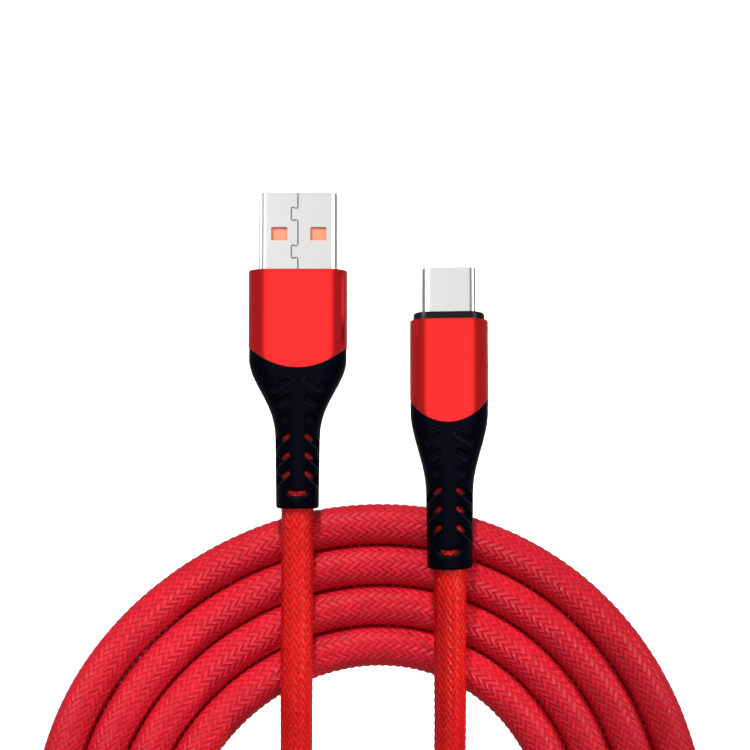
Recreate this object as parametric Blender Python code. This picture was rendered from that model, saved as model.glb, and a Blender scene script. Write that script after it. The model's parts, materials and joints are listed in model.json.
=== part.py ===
"""Charging cable: a USB-A plug and a USB-C plug on a braided cord that lies in a flat coil.

Run with: blender --background --python part.py. Metres, +Z up, +Y towards the tips of the plugs.
The origin is under the middle of the two plugs, on the surface that they and the coil lie on.
Each plug is modelled along its own +Y axis, from the front face of its housing, and then placed
by an empty: its nose rests on the surface and its tail is raised, as its lead passes over the coil.
"""

import math

import bmesh
import bpy
import numpy as np
from mathutils import Euler, Vector

MM = 0.001

# --- Fits ------------------------------------------------------------------------------------------
GAP = 0.3 * MM  # between the large pieces
FINE_GAP = 0.1 * MM  # between the small pieces inside the plugs
OVERCUT = 1.0 * MM  # how far a cutter runs past what it cuts

# --- USB-A plug ------------------------------------------------------------------------------------
A_ORIGIN = Vector((-10.86, 16.77, 3.80)) * MM
A_TILT, A_TWIST = math.radians(-6.6), 0.0
A_SHELL_W, A_SHELL_H, A_SHELL_R, A_SHELL_WALL = 12.0 * MM, 4.5 * MM, 1.0 * MM, 0.3 * MM
A_SHELL_FRONT, A_SHELL_BACK, A_SHELL_EDGE = 12.1 * MM, -6.5 * MM, 0.12 * MM
A_WINDOW_X, A_WINDOW_W = (-2.85 * MM, 3.15 * MM), 2.5 * MM
A_WINDOW_Y = (4.60 * MM, 6.70 * MM)
A_SEAM_W, A_SEAM_TAB, A_SEAM_FLARE = 0.12 * MM, 1.0 * MM, 0.3 * MM
A_SEAM_TABS = ((2.07 * MM, 3.67 * MM), (7.91 * MM, 9.55 * MM))
A_TONGUE_FRONT, A_BLOCK_FRONT, A_BLOCK_BACK = 11.5 * MM, 2.8 * MM, -6.2 * MM
A_TONGUE_UNDERSIDE = 0.0
A_PIN_X = (-3.5 * MM, -1.0 * MM, 1.0 * MM, 3.5 * MM)
A_PIN_W = (1.2 * MM, 1.0 * MM, 1.0 * MM, 1.2 * MM)
A_PIN_TIP = (11.0 * MM, 10.0 * MM, 10.0 * MM, 11.0 * MM)
A_PIN_T, A_PIN_TAIL = 0.2 * MM, -8.6 * MM
A_PIN_Z = A_TONGUE_UNDERSIDE - FINE_GAP - A_PIN_T / 2
A_PIN_RISE, A_PIN_TIP_DROP = 0.25 * MM, 0.35 * MM  # the crown that springs out, and the tip bent back
A_PIN_CROWN, A_PIN_TIP_RUN = 2.2 * MM, 0.7 * MM  # how far behind the tip the crown and the bend start
A_HOUSING_W, A_HOUSING_H, A_HOUSING_R, A_HOUSING_WALL = 15.15 * MM, 7.6 * MM, 3.0 * MM, 0.7 * MM
A_HOUSING_SIDE, A_HOUSING_MIDDLE = -11.8 * MM, -15.2 * MM
A_FRONT_WALL = 0.8 * MM
A_MOULD_FRONT, A_MOULD_BACK = -7.0 * MM, -10.4 * MM
A_WIRE_CHANNEL_W, A_WIRE_CHANNEL_Z = 9.2 * MM, (-1.7 * MM, 0.3 * MM)
A_CORD_END = -18.21 * MM
A_BOOT = {
    "front": -10.8 * MM,
    "shoulder": -13.6 * MM,
    "neck": -27.1 * MM,
    "tail": -36.55 * MM,
    "lean": 0.08,
    "front_w": 7.50 * MM,
    "neck_w": 3.42 * MM,
    "tail_w": 3.28 * MM,
    "front_h": 3.74 * MM,
    "tail_h": 3.28 * MM,
    "waist": 1.6,
    "slot_y": -16.7 * MM,
    "smile_y": -34.3 * MM,
    "spigot": (13.1 * MM, 5.6 * MM, 2.0 * MM),
    "cavity": (9.6 * MM, 3.6 * MM, 1.2 * MM),
}

# --- USB-C plug ------------------------------------------------------------------------------------
C_ORIGIN = Vector((12.41, 9.09, 3.66)) * MM
C_TILT, C_TWIST = math.radians(-9.7), math.radians(-4.0)
C_SHELL_W, C_SHELL_H, C_SHELL_WALL = 8.25 * MM, 2.4 * MM, 0.22 * MM
C_SHELL_FRONT, C_SHELL_BACK, C_SHELL_EDGE = 8.40 * MM, -4.6 * MM, 0.1 * MM
C_CORE_FRONT, C_CORE_BACK = 8.10 * MM, -4.2 * MM
C_MOUTH_W, C_MOUTH_H, C_MOUTH_R, C_MOUTH_BACK = 6.9 * MM, 1.14 * MM, 0.3 * MM, 2.0 * MM
C_PIN_PITCH, C_PIN_W, C_PIN_T = 0.5 * MM, 0.26 * MM, 0.12 * MM
C_PIN_Z, C_MIDDLE_PIN = 0.42 * MM, 6.5  # the middle lies between contacts 6 and 7
C_PIN_TIP, C_PIN_TAIL = 7.4 * MM, -6.4 * MM
C_UPPER_PINS = (1, 4, 5, 6, 7, 9, 12)
C_LOWER_PINS = (1, 4, 9, 12)
C_PIN_FIT = 0.06 * MM  # round each contact in the insulator
C_PIN_CROWN, C_PIN_CROWN_Y = 0.1 * MM, (1.6 * MM, 0.7 * MM)  # its height, and where it starts and peaks
C_LATCH_X, C_LATCH_T, C_LATCH_H = 3.2 * MM, 0.12 * MM, 0.5 * MM
C_LATCH_HOOK, C_LATCH_Y = 0.12 * MM, (2.2 * MM, 5.6 * MM, 6.4 * MM, 7.1 * MM)
C_BOARD_W, C_BOARD_T = 7.4 * MM, 0.6 * MM
C_BOARD_Y = (-10.6 * MM, -4.9 * MM)
C_RESISTOR_W, C_RESISTOR_H, C_RESISTOR_Y = 1.0 * MM, 0.35 * MM, (-7.7 * MM, -7.2 * MM)
C_WIRE_X = (-2.2 * MM, -1.0 * MM, 1.0 * MM, 2.2 * MM)
C_COLLAR_W, C_COLLAR_H, C_COLLAR_R, C_COLLAR_FRONT = 10.96 * MM, 5.86 * MM, 2.4 * MM, 1.2 * MM
C_COLLAR_BACK, C_COLLAR_EDGE = -2.6 * MM, 0.15 * MM
C_HOUSING_W, C_HOUSING_H, C_HOUSING_R, C_HOUSING_WALL = 12.0 * MM, 6.9 * MM, 2.9 * MM, 0.4 * MM
C_HOUSING_SIDE, C_HOUSING_MIDDLE = -12.15 * MM, -16.1 * MM
C_MOULD_FRONT, C_MOULD_BACK = -2.9 * MM, -11.6 * MM
C_BOARD_CHANNEL_W, C_BOARD_CHANNEL_H = 8.7 * MM, 3.0 * MM
C_CORD_END = -19.17 * MM
C_BOOT = {
    "front": -12.0 * MM,
    "shoulder": -14.0 * MM,
    "neck": -27.1 * MM,
    "tail": -38.2 * MM,
    "lean": 0.22,
    "front_w": 5.95 * MM,
    "neck_w": 3.60 * MM,
    "tail_w": 3.46 * MM,
    "front_h": 3.40 * MM,
    "tail_h": 3.30 * MM,
    "waist": 1.15,
    "slot_y": -17.5 * MM,
    "smile_y": -35.9 * MM,
    "spigot": (10.5 * MM, 5.4 * MM, 2.2 * MM),
    "cavity": (7.4 * MM, 3.6 * MM, 1.2 * MM),
}

# --- Both plugs ------------------------------------------------------------------------------------
HOUSING_EDGE, TAIL_EDGE, MOULD_EDGE = 0.12 * MM, 0.4 * MM, 0.2 * MM
WIRE_R, WIRE_SPREAD, SOLDERED = 0.45 * MM, 0.75 * MM, 1.4 * MM
WIRE_UP = (1, -1, -1, 1)  # which side of the cord's middle each wire ends on

# --- Fishbone slots of the strain reliefs: blind near the housing, open to the cord near the tail --
SLOT_PITCH, SLOTS, OPEN_SLOTS = 2.87 * MM, 6, 3
SLOT_W, SLOT_INNER_X, SLOT_SLOPE, SLOT_FLOOR = 1.15 * MM, 1.05 * MM, 0.70, 0.9 * MM
BLIND_DEPTH, BLIND_RUN, BLIND_RIM = 0.7 * MM, 3.6 * MM, 0.9 * MM
SMILE_HALF, SMILE_SAG, SMILE_W = 1.35 * MM, 0.55 * MM, 0.85 * MM

# --- Cord ------------------------------------------------------------------------------------------
LEAD_R = 2.55 * MM  # the cord pulled straight
BORE_R = LEAD_R + GAP
COIL_R = 2.9 * MM  # the cord where its braid is slack, in the turns
COIL_CENTRE = Vector((0.38, -71.85, 0.0)) * MM
COIL_INNER, COIL_PITCH, COIL_TURNS = 30.98 * MM, 6.24 * MM, 4
COIL_SIDES = 72
# The lead from the USB-A plug: over the turns, down into the coil, and round to its innermost turn.
LEAD_A_ROUTE = [
    (-0.01086, -0.00132, 0.00590),
    (-0.01086, -0.00966, 0.00686),
    (-0.01086, -0.01940, 0.00799),
    (-0.01086, -0.02300, 0.00839),
    (-0.01086, -0.02700, 0.00862),
    (-0.01087, -0.03200, 0.00867),
    (-0.01090, -0.03750, 0.00862),
    (-0.01095, -0.04250, 0.00850),
    (-0.01100, -0.04700, 0.00790),
    (-0.01105, -0.05200, 0.00640),
    (-0.01110, -0.05700, 0.00460),
    (-0.01112, -0.06200, 0.00330),
    (-0.01112, -0.06700, 0.00275),
    (-0.01110, -0.07200, 0.00265),
    (-0.01105, -0.07700, 0.00265),
    (-0.01085, -0.08250, 0.00265),
    (-0.01010, -0.08780, 0.00265),
    (-0.00860, -0.09250, 0.00265),
    (-0.00640, -0.09600, 0.00265),
]
# The lead to the USB-C plug: off the outermost turn, over the others, across the coil and over them.
LEAD_C_ROUTE = [
    (-0.04034, -0.10036, 0.00860),
    (-0.03477, -0.10700, 0.00860),
    (-0.02813, -0.11257, 0.00860),
    (-0.02063, -0.11690, 0.00860),
    (-0.01249, -0.11987, 0.00860),
    (-0.00732, -0.12054, 0.00860),
    (-0.00214, -0.11986, 0.00860),
    (0.00268, -0.11786, 0.00860),
    (0.00682, -0.11468, 0.00860),
    (0.01000, -0.11054, 0.00860),
    (0.01195, -0.10570, 0.00860),
    (0.01262, -0.10054, 0.00855),
    (0.01268, -0.09650, 0.00800),
    (0.01268, -0.09150, 0.00660),
    (0.01266, -0.08650, 0.00480),
    (0.01264, -0.08150, 0.00340),
    (0.01262, -0.07650, 0.00275),
    (0.01260, -0.07150, 0.00265),
    (0.01258, -0.06650, 0.00275),
    (0.01256, -0.06150, 0.00330),
    (0.01254, -0.05650, 0.00450),
    (0.01252, -0.05150, 0.00630),
    (0.01249, -0.04650, 0.00790),
    (0.01246, -0.04150, 0.00900),
    (0.01244, -0.03650, 0.00985),
    (0.01242, -0.03250, 0.01035),
    (0.01241, -0.02854, 0.01009),
    (0.01241, -0.01908, 0.00848),
    (0.01241, -0.00981, 0.00689),
]
CORD_STEP = 4 * LEAD_R
FINE_STEPS = 20  # between two points of a route

# --- Materials: colour, metallic, roughness --------------------------------------------------------
FINISHES = {
    "red_aluminium": ((0.90, 0.02, 0.02), 1.0, 0.30),
    "black_rubber": ((0.012, 0.012, 0.020), 0.0, 0.55),
    "black_plastic": ((0.015, 0.015, 0.018), 0.0, 0.40),
    "steel": ((0.72, 0.72, 0.72), 1.0, 0.22),
    "orange_plastic": ((0.95, 0.32, 0.12), 0.0, 0.45),
    "gold_plate": ((0.90, 0.66, 0.28), 1.0, 0.25),
    "white_mould": ((0.78, 0.76, 0.70), 0.0, 0.50),
    "green_board": ((0.02, 0.16, 0.06), 0.0, 0.40),
    "grey_ceramic": ((0.25, 0.24, 0.24), 0.0, 0.50),
    "red_wire": ((0.70, 0.03, 0.03), 0.0, 0.45),
    "white_wire": ((0.80, 0.80, 0.78), 0.0, 0.45),
    "green_wire": ((0.03, 0.35, 0.08), 0.0, 0.45),
    "black_wire": ((0.02, 0.02, 0.02), 0.0, 0.45),
    "red_braid": ((0.60, 0.01, 0.02), 0.0, 0.80),
}
WIRE_FINISHES = ("red_wire", "white_wire", "green_wire", "black_wire")
WIRE_JOBS = ("supply", "data_minus", "data_plus", "ground")


# --- Building blocks -------------------------------------------------------------------------------
CORNER_STEPS = 5
SMOOTH_BELOW = math.radians(38)
ANY_HEIGHT = (-8 * MM, 8 * MM)  # past the top and bottom of both plugs


def clear_scene():
    for thing in list(bpy.data.objects):
        bpy.data.objects.remove(thing, do_unlink=True)


def material(name):
    """The named finish as a Principled BSDF."""
    if name in bpy.data.materials:
        return bpy.data.materials[name]
    colour, metallic, roughness = FINISHES[name]
    made = bpy.data.materials.new(name)
    made.use_nodes = True
    shader = made.node_tree.nodes["Principled BSDF"]
    shader.inputs["Base Color"].default_value = (*colour, 1.0)
    shader.inputs["Metallic"].default_value = metallic
    shader.inputs["Roughness"].default_value = roughness
    made.diffuse_color = (*colour, 1.0)
    return made


def placed(name, data, parent):
    thing = bpy.data.objects.new(name, data)
    bpy.context.scene.collection.objects.link(thing)
    thing.parent = parent
    return thing


def mesh_from(bm, name):
    bmesh.ops.recalc_face_normals(bm, faces=bm.faces)
    mesh = bpy.data.meshes.new(name)
    bm.to_mesh(mesh)
    bm.free()
    return mesh


def piece(name, bm, finish, parent):
    """A named sub-part from a bmesh, with its finish, shaded smooth except at sharp edges."""
    mesh = mesh_from(bm, name)
    mesh.materials.append(material(finish))
    mesh.shade_smooth()
    mesh.set_sharp_from_angle(angle=SMOOTH_BELOW)
    return placed(name, mesh, parent)


def combine(target, bm, name, operation="DIFFERENCE"):
    """Cuts the closed bodies in bm out of target, or joins them to it, from a hidden guide beside it."""
    guide = placed(f"{target.name}_{name}_guide", mesh_from(bm, name), target.parent)
    guide.hide_render = True
    guide.display_type = "WIRE"
    boolean = target.modifiers.new(name, "BOOLEAN")
    boolean.operation = operation
    boolean.solver = "EXACT"
    boolean.object = guide


def skin(rings, bm=None, closed=False):
    """Joins rings of points in turn: capped at both ends, or closed from the last ring to the first."""
    bm = bm or bmesh.new()
    loops = [[bm.verts.new(point) for point in ring] for ring in rings]
    pairs = list(zip(loops, loops[1:]))
    if closed:
        pairs.append((loops[-1], loops[0]))
    for near, far in pairs:
        for i in range(len(near)):
            j = (i + 1) % len(near)
            bm.faces.new((near[i], near[j], far[j], far[i]))
    if not closed:
        bm.faces.new(loops[0])
        bm.faces.new(loops[-1])
    return bm


def section(width, height, radius, y, steps=CORNER_STEPS):
    """A rounded rectangle across the plug's axis at y, as a ring of points."""
    half_w, half_h = width / 2, height / 2
    radius = min(radius, 0.97 * half_w, 0.97 * half_h)
    ring = []
    for corner, (sx, sz) in enumerate(((1, 1), (-1, 1), (-1, -1), (1, -1))):
        for i in range(steps + 1):
            angle = math.pi / 2 * (corner + i / steps)
            x = sx * (half_w - radius) + radius * math.cos(angle)
            z = sz * (half_h - radius) + radius * math.sin(angle)
            ring.append(Vector((x, y, z)))
    return ring


def sleeve(width, height, radius, wall, back, front, edge=0.0):
    """An open tube of rounded-rectangle section; edge rounds off the rim of its front."""
    inner = (width - 2 * wall, height - 2 * wall, max(radius - wall, 0.3 * MM))
    rings = [section(width, height, radius, back), section(width, height, radius, front - edge)]
    if edge:
        rings.append(section(width - 2 * edge, height - 2 * edge, radius - edge, front))
    rings += [section(*inner, front), section(*inner, back)]
    return skin(rings, closed=True)


def block(width, height, radius, back, front, edge=0.0, bm=None):
    """A solid bar of rounded-rectangle section, with its end edges taken off by edge."""
    rings = [section(width, height, radius, back + edge), section(width, height, radius, front - edge)]
    if edge:
        small = (width - 2 * edge, height - 2 * edge, max(radius - edge, 0.1 * MM))
        rings = [section(*small, back)] + rings + [section(*small, front)]
    return skin(rings, bm)


def box(low, high, bm=None):
    """A plain box between two corners."""
    (x0, y0, z0), (x1, y1, z1) = low, high
    ring = ((x0, y0), (x1, y0), (x1, y1), (x0, y1))
    return skin([[Vector((x, y, z)) for x, y in ring] for z in (z0, z1)], bm)


def upright(outline, levels, bm=None):
    """An outline seen from above, solid between two levels."""
    return skin([[Vector((p.x, p.y, z)) for p in outline] for z in levels], bm)


def ribbon(path, width):
    """The outline of a strip of even width along a flat path, with mitred corners."""
    left, right = [], []
    for i, here in enumerate(path):
        before = (here - path[i - 1]).normalized() if i else None
        after = (path[i + 1] - here).normalized() if i + 1 < len(path) else None
        before, after = before or after, after or before
        normal = Vector((-(before + after).y, (before + after).x)).normalized()
        reach = width / 2 / max(normal.dot(Vector((-after.y, after.x))), 0.3)
        left.append(here + normal * reach)
        right.append(here - normal * reach)
    return left + right[::-1]


def strip(side_view, thickness, x, width, bm=None):
    """A bent metal strip: its side view (y, z) given a thickness, and its width across X."""
    outline = ribbon([Vector(point) for point in side_view], thickness)
    edges = (x - width / 2, x + width / 2)
    return skin([[Vector((edge, p.x, p.y)) for p in outline] for edge in edges], bm)


def pipe(points, radius, sides=10):
    """A round bar along points that run mostly along Y."""
    rings = []
    for i, point in enumerate(points):
        along = (points[min(i + 1, len(points) - 1)] - points[max(i - 1, 0)]).normalized()
        across = along.cross(Vector((0, 0, 1))).normalized()
        up = across.cross(along)
        angles = [2 * math.pi * k / sides for k in range(sides)]
        rings.append([point + radius * (math.cos(a) * across + math.sin(a) * up) for a in angles])
    return skin(rings)


def smoothstep(t):
    t = min(max(t, 0.0), 1.0)
    return t * t * (3 - 2 * t)


def rounded_back(x, half_w, side, middle):
    """Where the curved rear edge of a housing lies at x, on an arc from its sides to its middle."""
    rise = abs(middle - side)
    radius = (half_w**2 + rise**2) / (2 * rise)
    return middle + radius - math.sqrt(radius**2 - min(abs(x), half_w) ** 2)


def in_front(half_w, side, middle, offset, front, steps=16):
    """A block that holds everything in front of that edge, moved back by offset, as far as front."""
    reach = half_w + OVERCUT
    outline = [Vector((reach, front)), Vector((-reach, front))]
    for i in range(steps + 1):
        x = reach * (2 * i / steps - 1)
        outline.append(Vector((x, rounded_back(x, half_w, side, middle) - offset)))
    return upright(outline, ANY_HEIGHT)


# --- Strain reliefs --------------------------------------------------------------------------------
def boot_half_sizes(boot, y):
    """Half the width and half the height of a strain relief at y."""
    t = (y - boot["shoulder"]) / (boot["neck"] - boot["shoulder"])
    flare = max(1 - smoothstep(t), 0.0) ** boot["waist"]
    s = min(max((y - boot["neck"]) / (boot["tail"] - boot["neck"]), 0.0), 1.0)
    stem_w = boot["neck_w"] + (boot["tail_w"] - boot["neck_w"]) * s
    half_w = stem_w + (boot["front_w"] - boot["neck_w"]) * flare
    half_h = boot["tail_h"] + (boot["front_h"] - boot["tail_h"]) * flare
    return half_w, half_h


def boot_section(boot, y, corner, inset=0.0):
    """Its section at y: the housing's rounded rectangle at the front, round at the neck."""
    half_w, half_h = boot_half_sizes(boot, y)
    t = smoothstep((y - boot["shoulder"]) / (boot["neck"] - boot["shoulder"]))
    radius = corner + (half_h - corner) * t
    return section(2 * (half_w - inset), 2 * (half_h - inset), radius - inset, y)


def slot_bars(boot, top):
    """The slanted bars that cut the fishbone slots on one face: top is 1 or -1."""
    bm = bmesh.new()
    for i in range(SLOTS):
        y = boot["slot_y"] - i * SLOT_PITCH
        half_w, half_h = boot_half_sizes(boot, y)
        reach, floor = half_w + OVERCUT, SLOT_FLOOR
        if i < SLOTS - OPEN_SLOTS:
            reach, floor = min(half_w - BLIND_RIM, SLOT_INNER_X + BLIND_RUN), half_h - BLIND_DEPTH
        outer_y = y - SLOT_SLOPE * (reach - SLOT_INNER_X)
        levels = sorted((top * floor, top * (half_h + OVERCUT)))
        for side in (-1, 1):
            ends = [Vector((side * SLOT_INNER_X, y)), Vector((side * reach, outer_y))]
            upright(slot_outline(ends, SLOT_W), levels, bm)
    return bm


def slot_outline(ends, width, steps=4):
    """A bar with a round inner end."""
    along = (ends[1] - ends[0]).normalized()
    across = Vector((-along.y, along.x))
    middle = ends[0] + along * width / 2
    outline = [ends[1] - across * width / 2, ends[1] + across * width / 2]
    for i in range(steps + 1):
        angle = math.pi * i / steps
        outline.append(middle + across * math.cos(angle) * width / 2 - along * math.sin(angle) * width / 2)
    return outline


def smile_bar(boot, top, steps=6):
    """The curved bar that cuts the one slot across the tail."""
    path = []
    for i in range(steps + 1):
        t = 2 * i / steps - 1
        path.append(Vector((SMILE_HALF * t, boot["smile_y"] + SMILE_SAG * t * t)))
    levels = sorted((top * SLOT_FLOOR, top * (boot["tail_h"] + OVERCUT)))
    return upright(ribbon(path, SMILE_W), levels)


def strain_relief(name, boot, housing, parent):
    """The moulded boot behind the housing's curved edge: spigot in front, bore through it, slots.

    Its tail leans back at the top, against the tilt of the plug.
    """
    corner, side, middle = housing["corner"], housing["side"], housing["middle"]
    front, tail = side + OVERCUT, boot["tail"]
    stations = [front]
    stations += [boot["shoulder"] + (boot["neck"] - boot["shoulder"]) * i / 8 for i in range(9)]
    stations += [(boot["neck"] + tail) / 2, tail + TAIL_EDGE]
    rings = [boot_section(boot, y, corner) for y in stations]
    rings.append(boot_section(boot, tail + 0.3 * TAIL_EDGE, corner, 0.3 * TAIL_EDGE))
    rings.append(boot_section(boot, tail, corner, TAIL_EDGE))
    for ring in rings[-3:]:
        for point in ring:
            point.y -= boot["lean"] * point.z
    made = piece(name, skin(rings), "black_rubber", parent)
    combine(made, in_front(housing["half_w"], side, middle, GAP, front + OVERCUT), "front")
    spigot = block(*boot["spigot"], middle - 2 * OVERCUT, boot["front"])
    combine(made, spigot, "spigot", "UNION")
    bore_mouth, cord_end = boot["front"] - OVERCUT, boot["cord_end"] + OVERCUT
    bore = [section(*boot["cavity"], y) for y in (boot["front"] + OVERCUT, bore_mouth)]
    bore += [section(2 * BORE_R, 2 * BORE_R, BORE_R, y) for y in (cord_end, tail - OVERCUT)]
    combine(made, skin(bore), "bore")
    for top, face in ((1, "upper"), (-1, "lower")):
        combine(made, slot_bars(boot, top), f"{face}_slots")
        combine(made, smile_bar(boot, top), f"{face}_smile")


# --- Plugs -----------------------------------------------------------------------------------------
def plug_frame(name, origin, tilt, twist):
    """The empty that places a plug: twisted about its own axis, then tilted nose down."""
    empty = placed(name, None, None)
    empty.location = origin
    empty.rotation_mode = "YXZ"
    empty.rotation_euler = Euler((tilt, twist, 0.0), "YXZ")
    return empty


def housing_sleeve(name, size, front_wall, opening, parent):
    """The red metal sleeve, its rear cut along an arc; front_wall closes its front round the shell."""
    width, height, corner, wall = size["w"], size["h"], size["corner"], size["wall"]
    tube = sleeve(width, height, corner, wall, size["middle"] - OVERCUT, 0.0, HOUSING_EDGE)
    made = piece(name, tube, "red_aluminium", parent)
    ahead_of_arc = in_front(size["half_w"], size["side"], size["middle"], 0.0, OVERCUT)
    combine(made, ahead_of_arc, "rear", "INTERSECT")
    if front_wall:
        plate = block(width - wall, height - wall, corner - wall / 2, -front_wall, -HOUSING_EDGE)
        combine(made, plate, "front_wall", "UNION")
        combine(made, block(*opening, -front_wall - OVERCUT, OVERCUT), "opening")


def inner_mould(name, size, back, front, channel_w, channel_z, parent):
    """The white moulding that fills the housing round its wires, with a channel through it for them."""
    width, height = (size[side] - 2 * size["wall"] - 2 * GAP for side in ("w", "h"))
    corner = size["corner"] - size["wall"] - GAP
    made = piece(name, block(width, height, corner, back, front, MOULD_EDGE), "white_mould", parent)
    low = (-channel_w / 2, back - OVERCUT, channel_z[0])
    high = (channel_w / 2, front + OVERCUT, channel_z[1])
    combine(made, box(low, high), "wire_channel")


def wire_path(start, straight_to, end_y, side, up, steps=7):
    """From a solder joint, straight back, then curving in to the wire's place in the cord's end."""
    end = Vector((side * WIRE_SPREAD, end_y, up * WIRE_SPREAD))
    path = [start, Vector((start.x, straight_to, start.z))]
    curve_end = end_y + 2 * WIRE_R
    for i in range(1, steps + 1):
        t = i / steps
        here = start.lerp(end, smoothstep(t))
        here.y = straight_to + (curve_end - straight_to) * t
        path.append(here)
    return path + [end]


def seam_path():
    """The line of the folded shell's seam, with its two dovetail tabs, from back to front."""
    path = [Vector((0.0, A_SHELL_BACK - OVERCUT))]
    for low, high in A_SEAM_TABS:
        path.append(Vector((0.0, low)))
        path.append(Vector((-A_SEAM_TAB, low - A_SEAM_FLARE)))
        path.append(Vector((-A_SEAM_TAB, high + A_SEAM_FLARE)))
        path.append(Vector((0.0, high)))
    path.append(Vector((0.0, A_SHELL_FRONT + OVERCUT)))
    return path


def usb_a_shell(frame):
    """The folded steel shell, with its seam on top and a pair of windows through each face."""
    tube = sleeve(A_SHELL_W, A_SHELL_H, A_SHELL_R, A_SHELL_WALL, A_SHELL_BACK, A_SHELL_FRONT, A_SHELL_EDGE)
    shell = piece("usb_a_shell", tube, "steel", frame)
    windows = bmesh.new()
    for x in A_WINDOW_X:
        low = (x - A_WINDOW_W / 2, A_WINDOW_Y[0], -A_SHELL_H)
        high = (x + A_WINDOW_W / 2, A_WINDOW_Y[1], A_SHELL_H)
        box(low, high, windows)
    combine(shell, windows, "windows")
    combine(shell, upright(ribbon(seam_path(), A_SEAM_W), (A_SHELL_H / 4, A_SHELL_H)), "seam")


def usb_a_insulator(frame):
    """The orange block and the tongue in front of it, with a channel for each contact."""
    core_w, core_h = (size - 2 * A_SHELL_WALL - 2 * FINE_GAP for size in (A_SHELL_W, A_SHELL_H))
    corner = A_SHELL_R - A_SHELL_WALL
    core = block(core_w, core_h, corner, A_BLOCK_BACK, A_BLOCK_FRONT)
    insulator = piece("usb_a_insulator", core, "orange_plastic", frame)
    half_tongue = core_w / 2 - corner
    tongue_low = (-half_tongue, A_BLOCK_FRONT - OVERCUT, A_TONGUE_UNDERSIDE)
    tongue_high = (half_tongue, A_TONGUE_FRONT, core_h / 2)
    combine(insulator, box(tongue_low, tongue_high), "tongue", "UNION")
    channels = bmesh.new()
    for x, width in zip(A_PIN_X, A_PIN_W):
        low = (x - width / 2 - FINE_GAP, A_BLOCK_BACK - OVERCUT, A_PIN_Z - A_PIN_T / 2 - FINE_GAP)
        high = (x + width / 2 + FINE_GAP, A_BLOCK_FRONT + OVERCUT, A_TONGUE_UNDERSIDE)
        box(low, high, channels)
    combine(insulator, channels, "channels")


def usb_a_plug():
    frame = plug_frame("usb_a_plug", A_ORIGIN, A_TILT, A_TWIST)
    usb_a_shell(frame)
    usb_a_insulator(frame)
    crown = A_PIN_Z - A_PIN_RISE
    for job, x, width, tip in zip(WIRE_JOBS, A_PIN_X, A_PIN_W, A_PIN_TIP):
        side_view = [(A_PIN_TAIL, A_PIN_Z), (A_BLOCK_FRONT + OVERCUT, A_PIN_Z)]
        side_view += [(tip - A_PIN_CROWN, crown), (tip - A_PIN_TIP_RUN, crown)]
        side_view.append((tip, crown + A_PIN_TIP_DROP))
        piece(f"usb_a_contact_{job}", strip(side_view, A_PIN_T, x, width), "gold_plate", frame)

    housing = {"w": A_HOUSING_W, "h": A_HOUSING_H, "corner": A_HOUSING_R, "wall": A_HOUSING_WALL}
    housing.update(half_w=A_HOUSING_W / 2, side=A_HOUSING_SIDE, middle=A_HOUSING_MIDDLE)
    opening = (A_SHELL_W + 2 * FINE_GAP, A_SHELL_H + 2 * FINE_GAP, A_SHELL_R + FINE_GAP)
    housing_sleeve("usb_a_housing", housing, A_FRONT_WALL, opening, frame)
    ends = (A_MOULD_BACK, A_MOULD_FRONT)
    inner_mould("usb_a_inner_mould", housing, *ends, A_WIRE_CHANNEL_W, A_WIRE_CHANNEL_Z, frame)

    wire_z = A_PIN_Z - A_PIN_T / 2 - FINE_GAP - WIRE_R
    for job, finish, x, up in zip(WIRE_JOBS, WIRE_FINISHES, A_PIN_X, WIRE_UP):
        start = Vector((x, A_PIN_TAIL + SOLDERED, wire_z))
        path = wire_path(start, A_PIN_TAIL - WIRE_R, A_CORD_END + GAP, math.copysign(1, x), up)
        piece(f"usb_a_wire_{job}", pipe(path, WIRE_R), finish, frame)
    strain_relief("usb_a_strain_relief", {**A_BOOT, "cord_end": A_CORD_END}, housing, frame)


def usb_c_insulator(frame):
    """The insulator that fills the shell, with its mouth, and a contact in each passage through it."""
    core_w, core_h = (size - 2 * C_SHELL_WALL - 2 * FINE_GAP for size in (C_SHELL_W, C_SHELL_H))
    core = block(core_w, core_h, core_h / 2, C_CORE_BACK, C_CORE_FRONT)
    core = piece("usb_c_insulator", core, "black_plastic", frame)
    mouth = block(C_MOUTH_W, C_MOUTH_H, C_MOUTH_R, C_MOUTH_BACK, C_CORE_FRONT + OVERCUT)
    combine(core, mouth, "mouth")
    passages = bmesh.new()
    rows = [("upper", 1, pin) for pin in C_UPPER_PINS] + [("lower", -1, pin) for pin in C_LOWER_PINS]
    for face, up, pin in rows:
        x = up * (pin - C_MIDDLE_PIN) * C_PIN_PITCH
        half_w, half_t = C_PIN_W / 2 + C_PIN_FIT, C_PIN_T / 2 + C_PIN_FIT
        low = (x - half_w, C_CORE_BACK - OVERCUT, up * C_PIN_Z - half_t)
        high = (x + half_w, C_MOUTH_BACK + FINE_GAP, up * C_PIN_Z + half_t)
        box(low, high, passages)
        start, peak = (C_PIN_TIP - back for back in C_PIN_CROWN_Y)
        side_view = [(C_PIN_TAIL, up * C_PIN_Z), (start, up * C_PIN_Z)]
        side_view += [(peak, up * (C_PIN_Z - C_PIN_CROWN)), (C_PIN_TIP, up * C_PIN_Z)]
        contact = strip(side_view, C_PIN_T, x, C_PIN_W)
        piece(f"usb_c_contact_{face}_{pin:02d}", contact, "gold_plate", frame)
    combine(core, passages, "passages")


def usb_c_latches(frame):
    """The two springs at the sides of the mouth, each with a hook near its front."""
    for side, word in ((-1, "left"), (1, "right")):
        hooks = (0.0, 0.0, C_LATCH_HOOK, 0.0)
        plan = [Vector((side * (C_LATCH_X - hook), y)) for hook, y in zip(hooks, C_LATCH_Y)]
        latch = upright(ribbon(plan, C_LATCH_T), (-C_LATCH_H / 2, C_LATCH_H / 2))
        piece(f"usb_c_latch_{word}", latch, "steel", frame)


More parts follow.
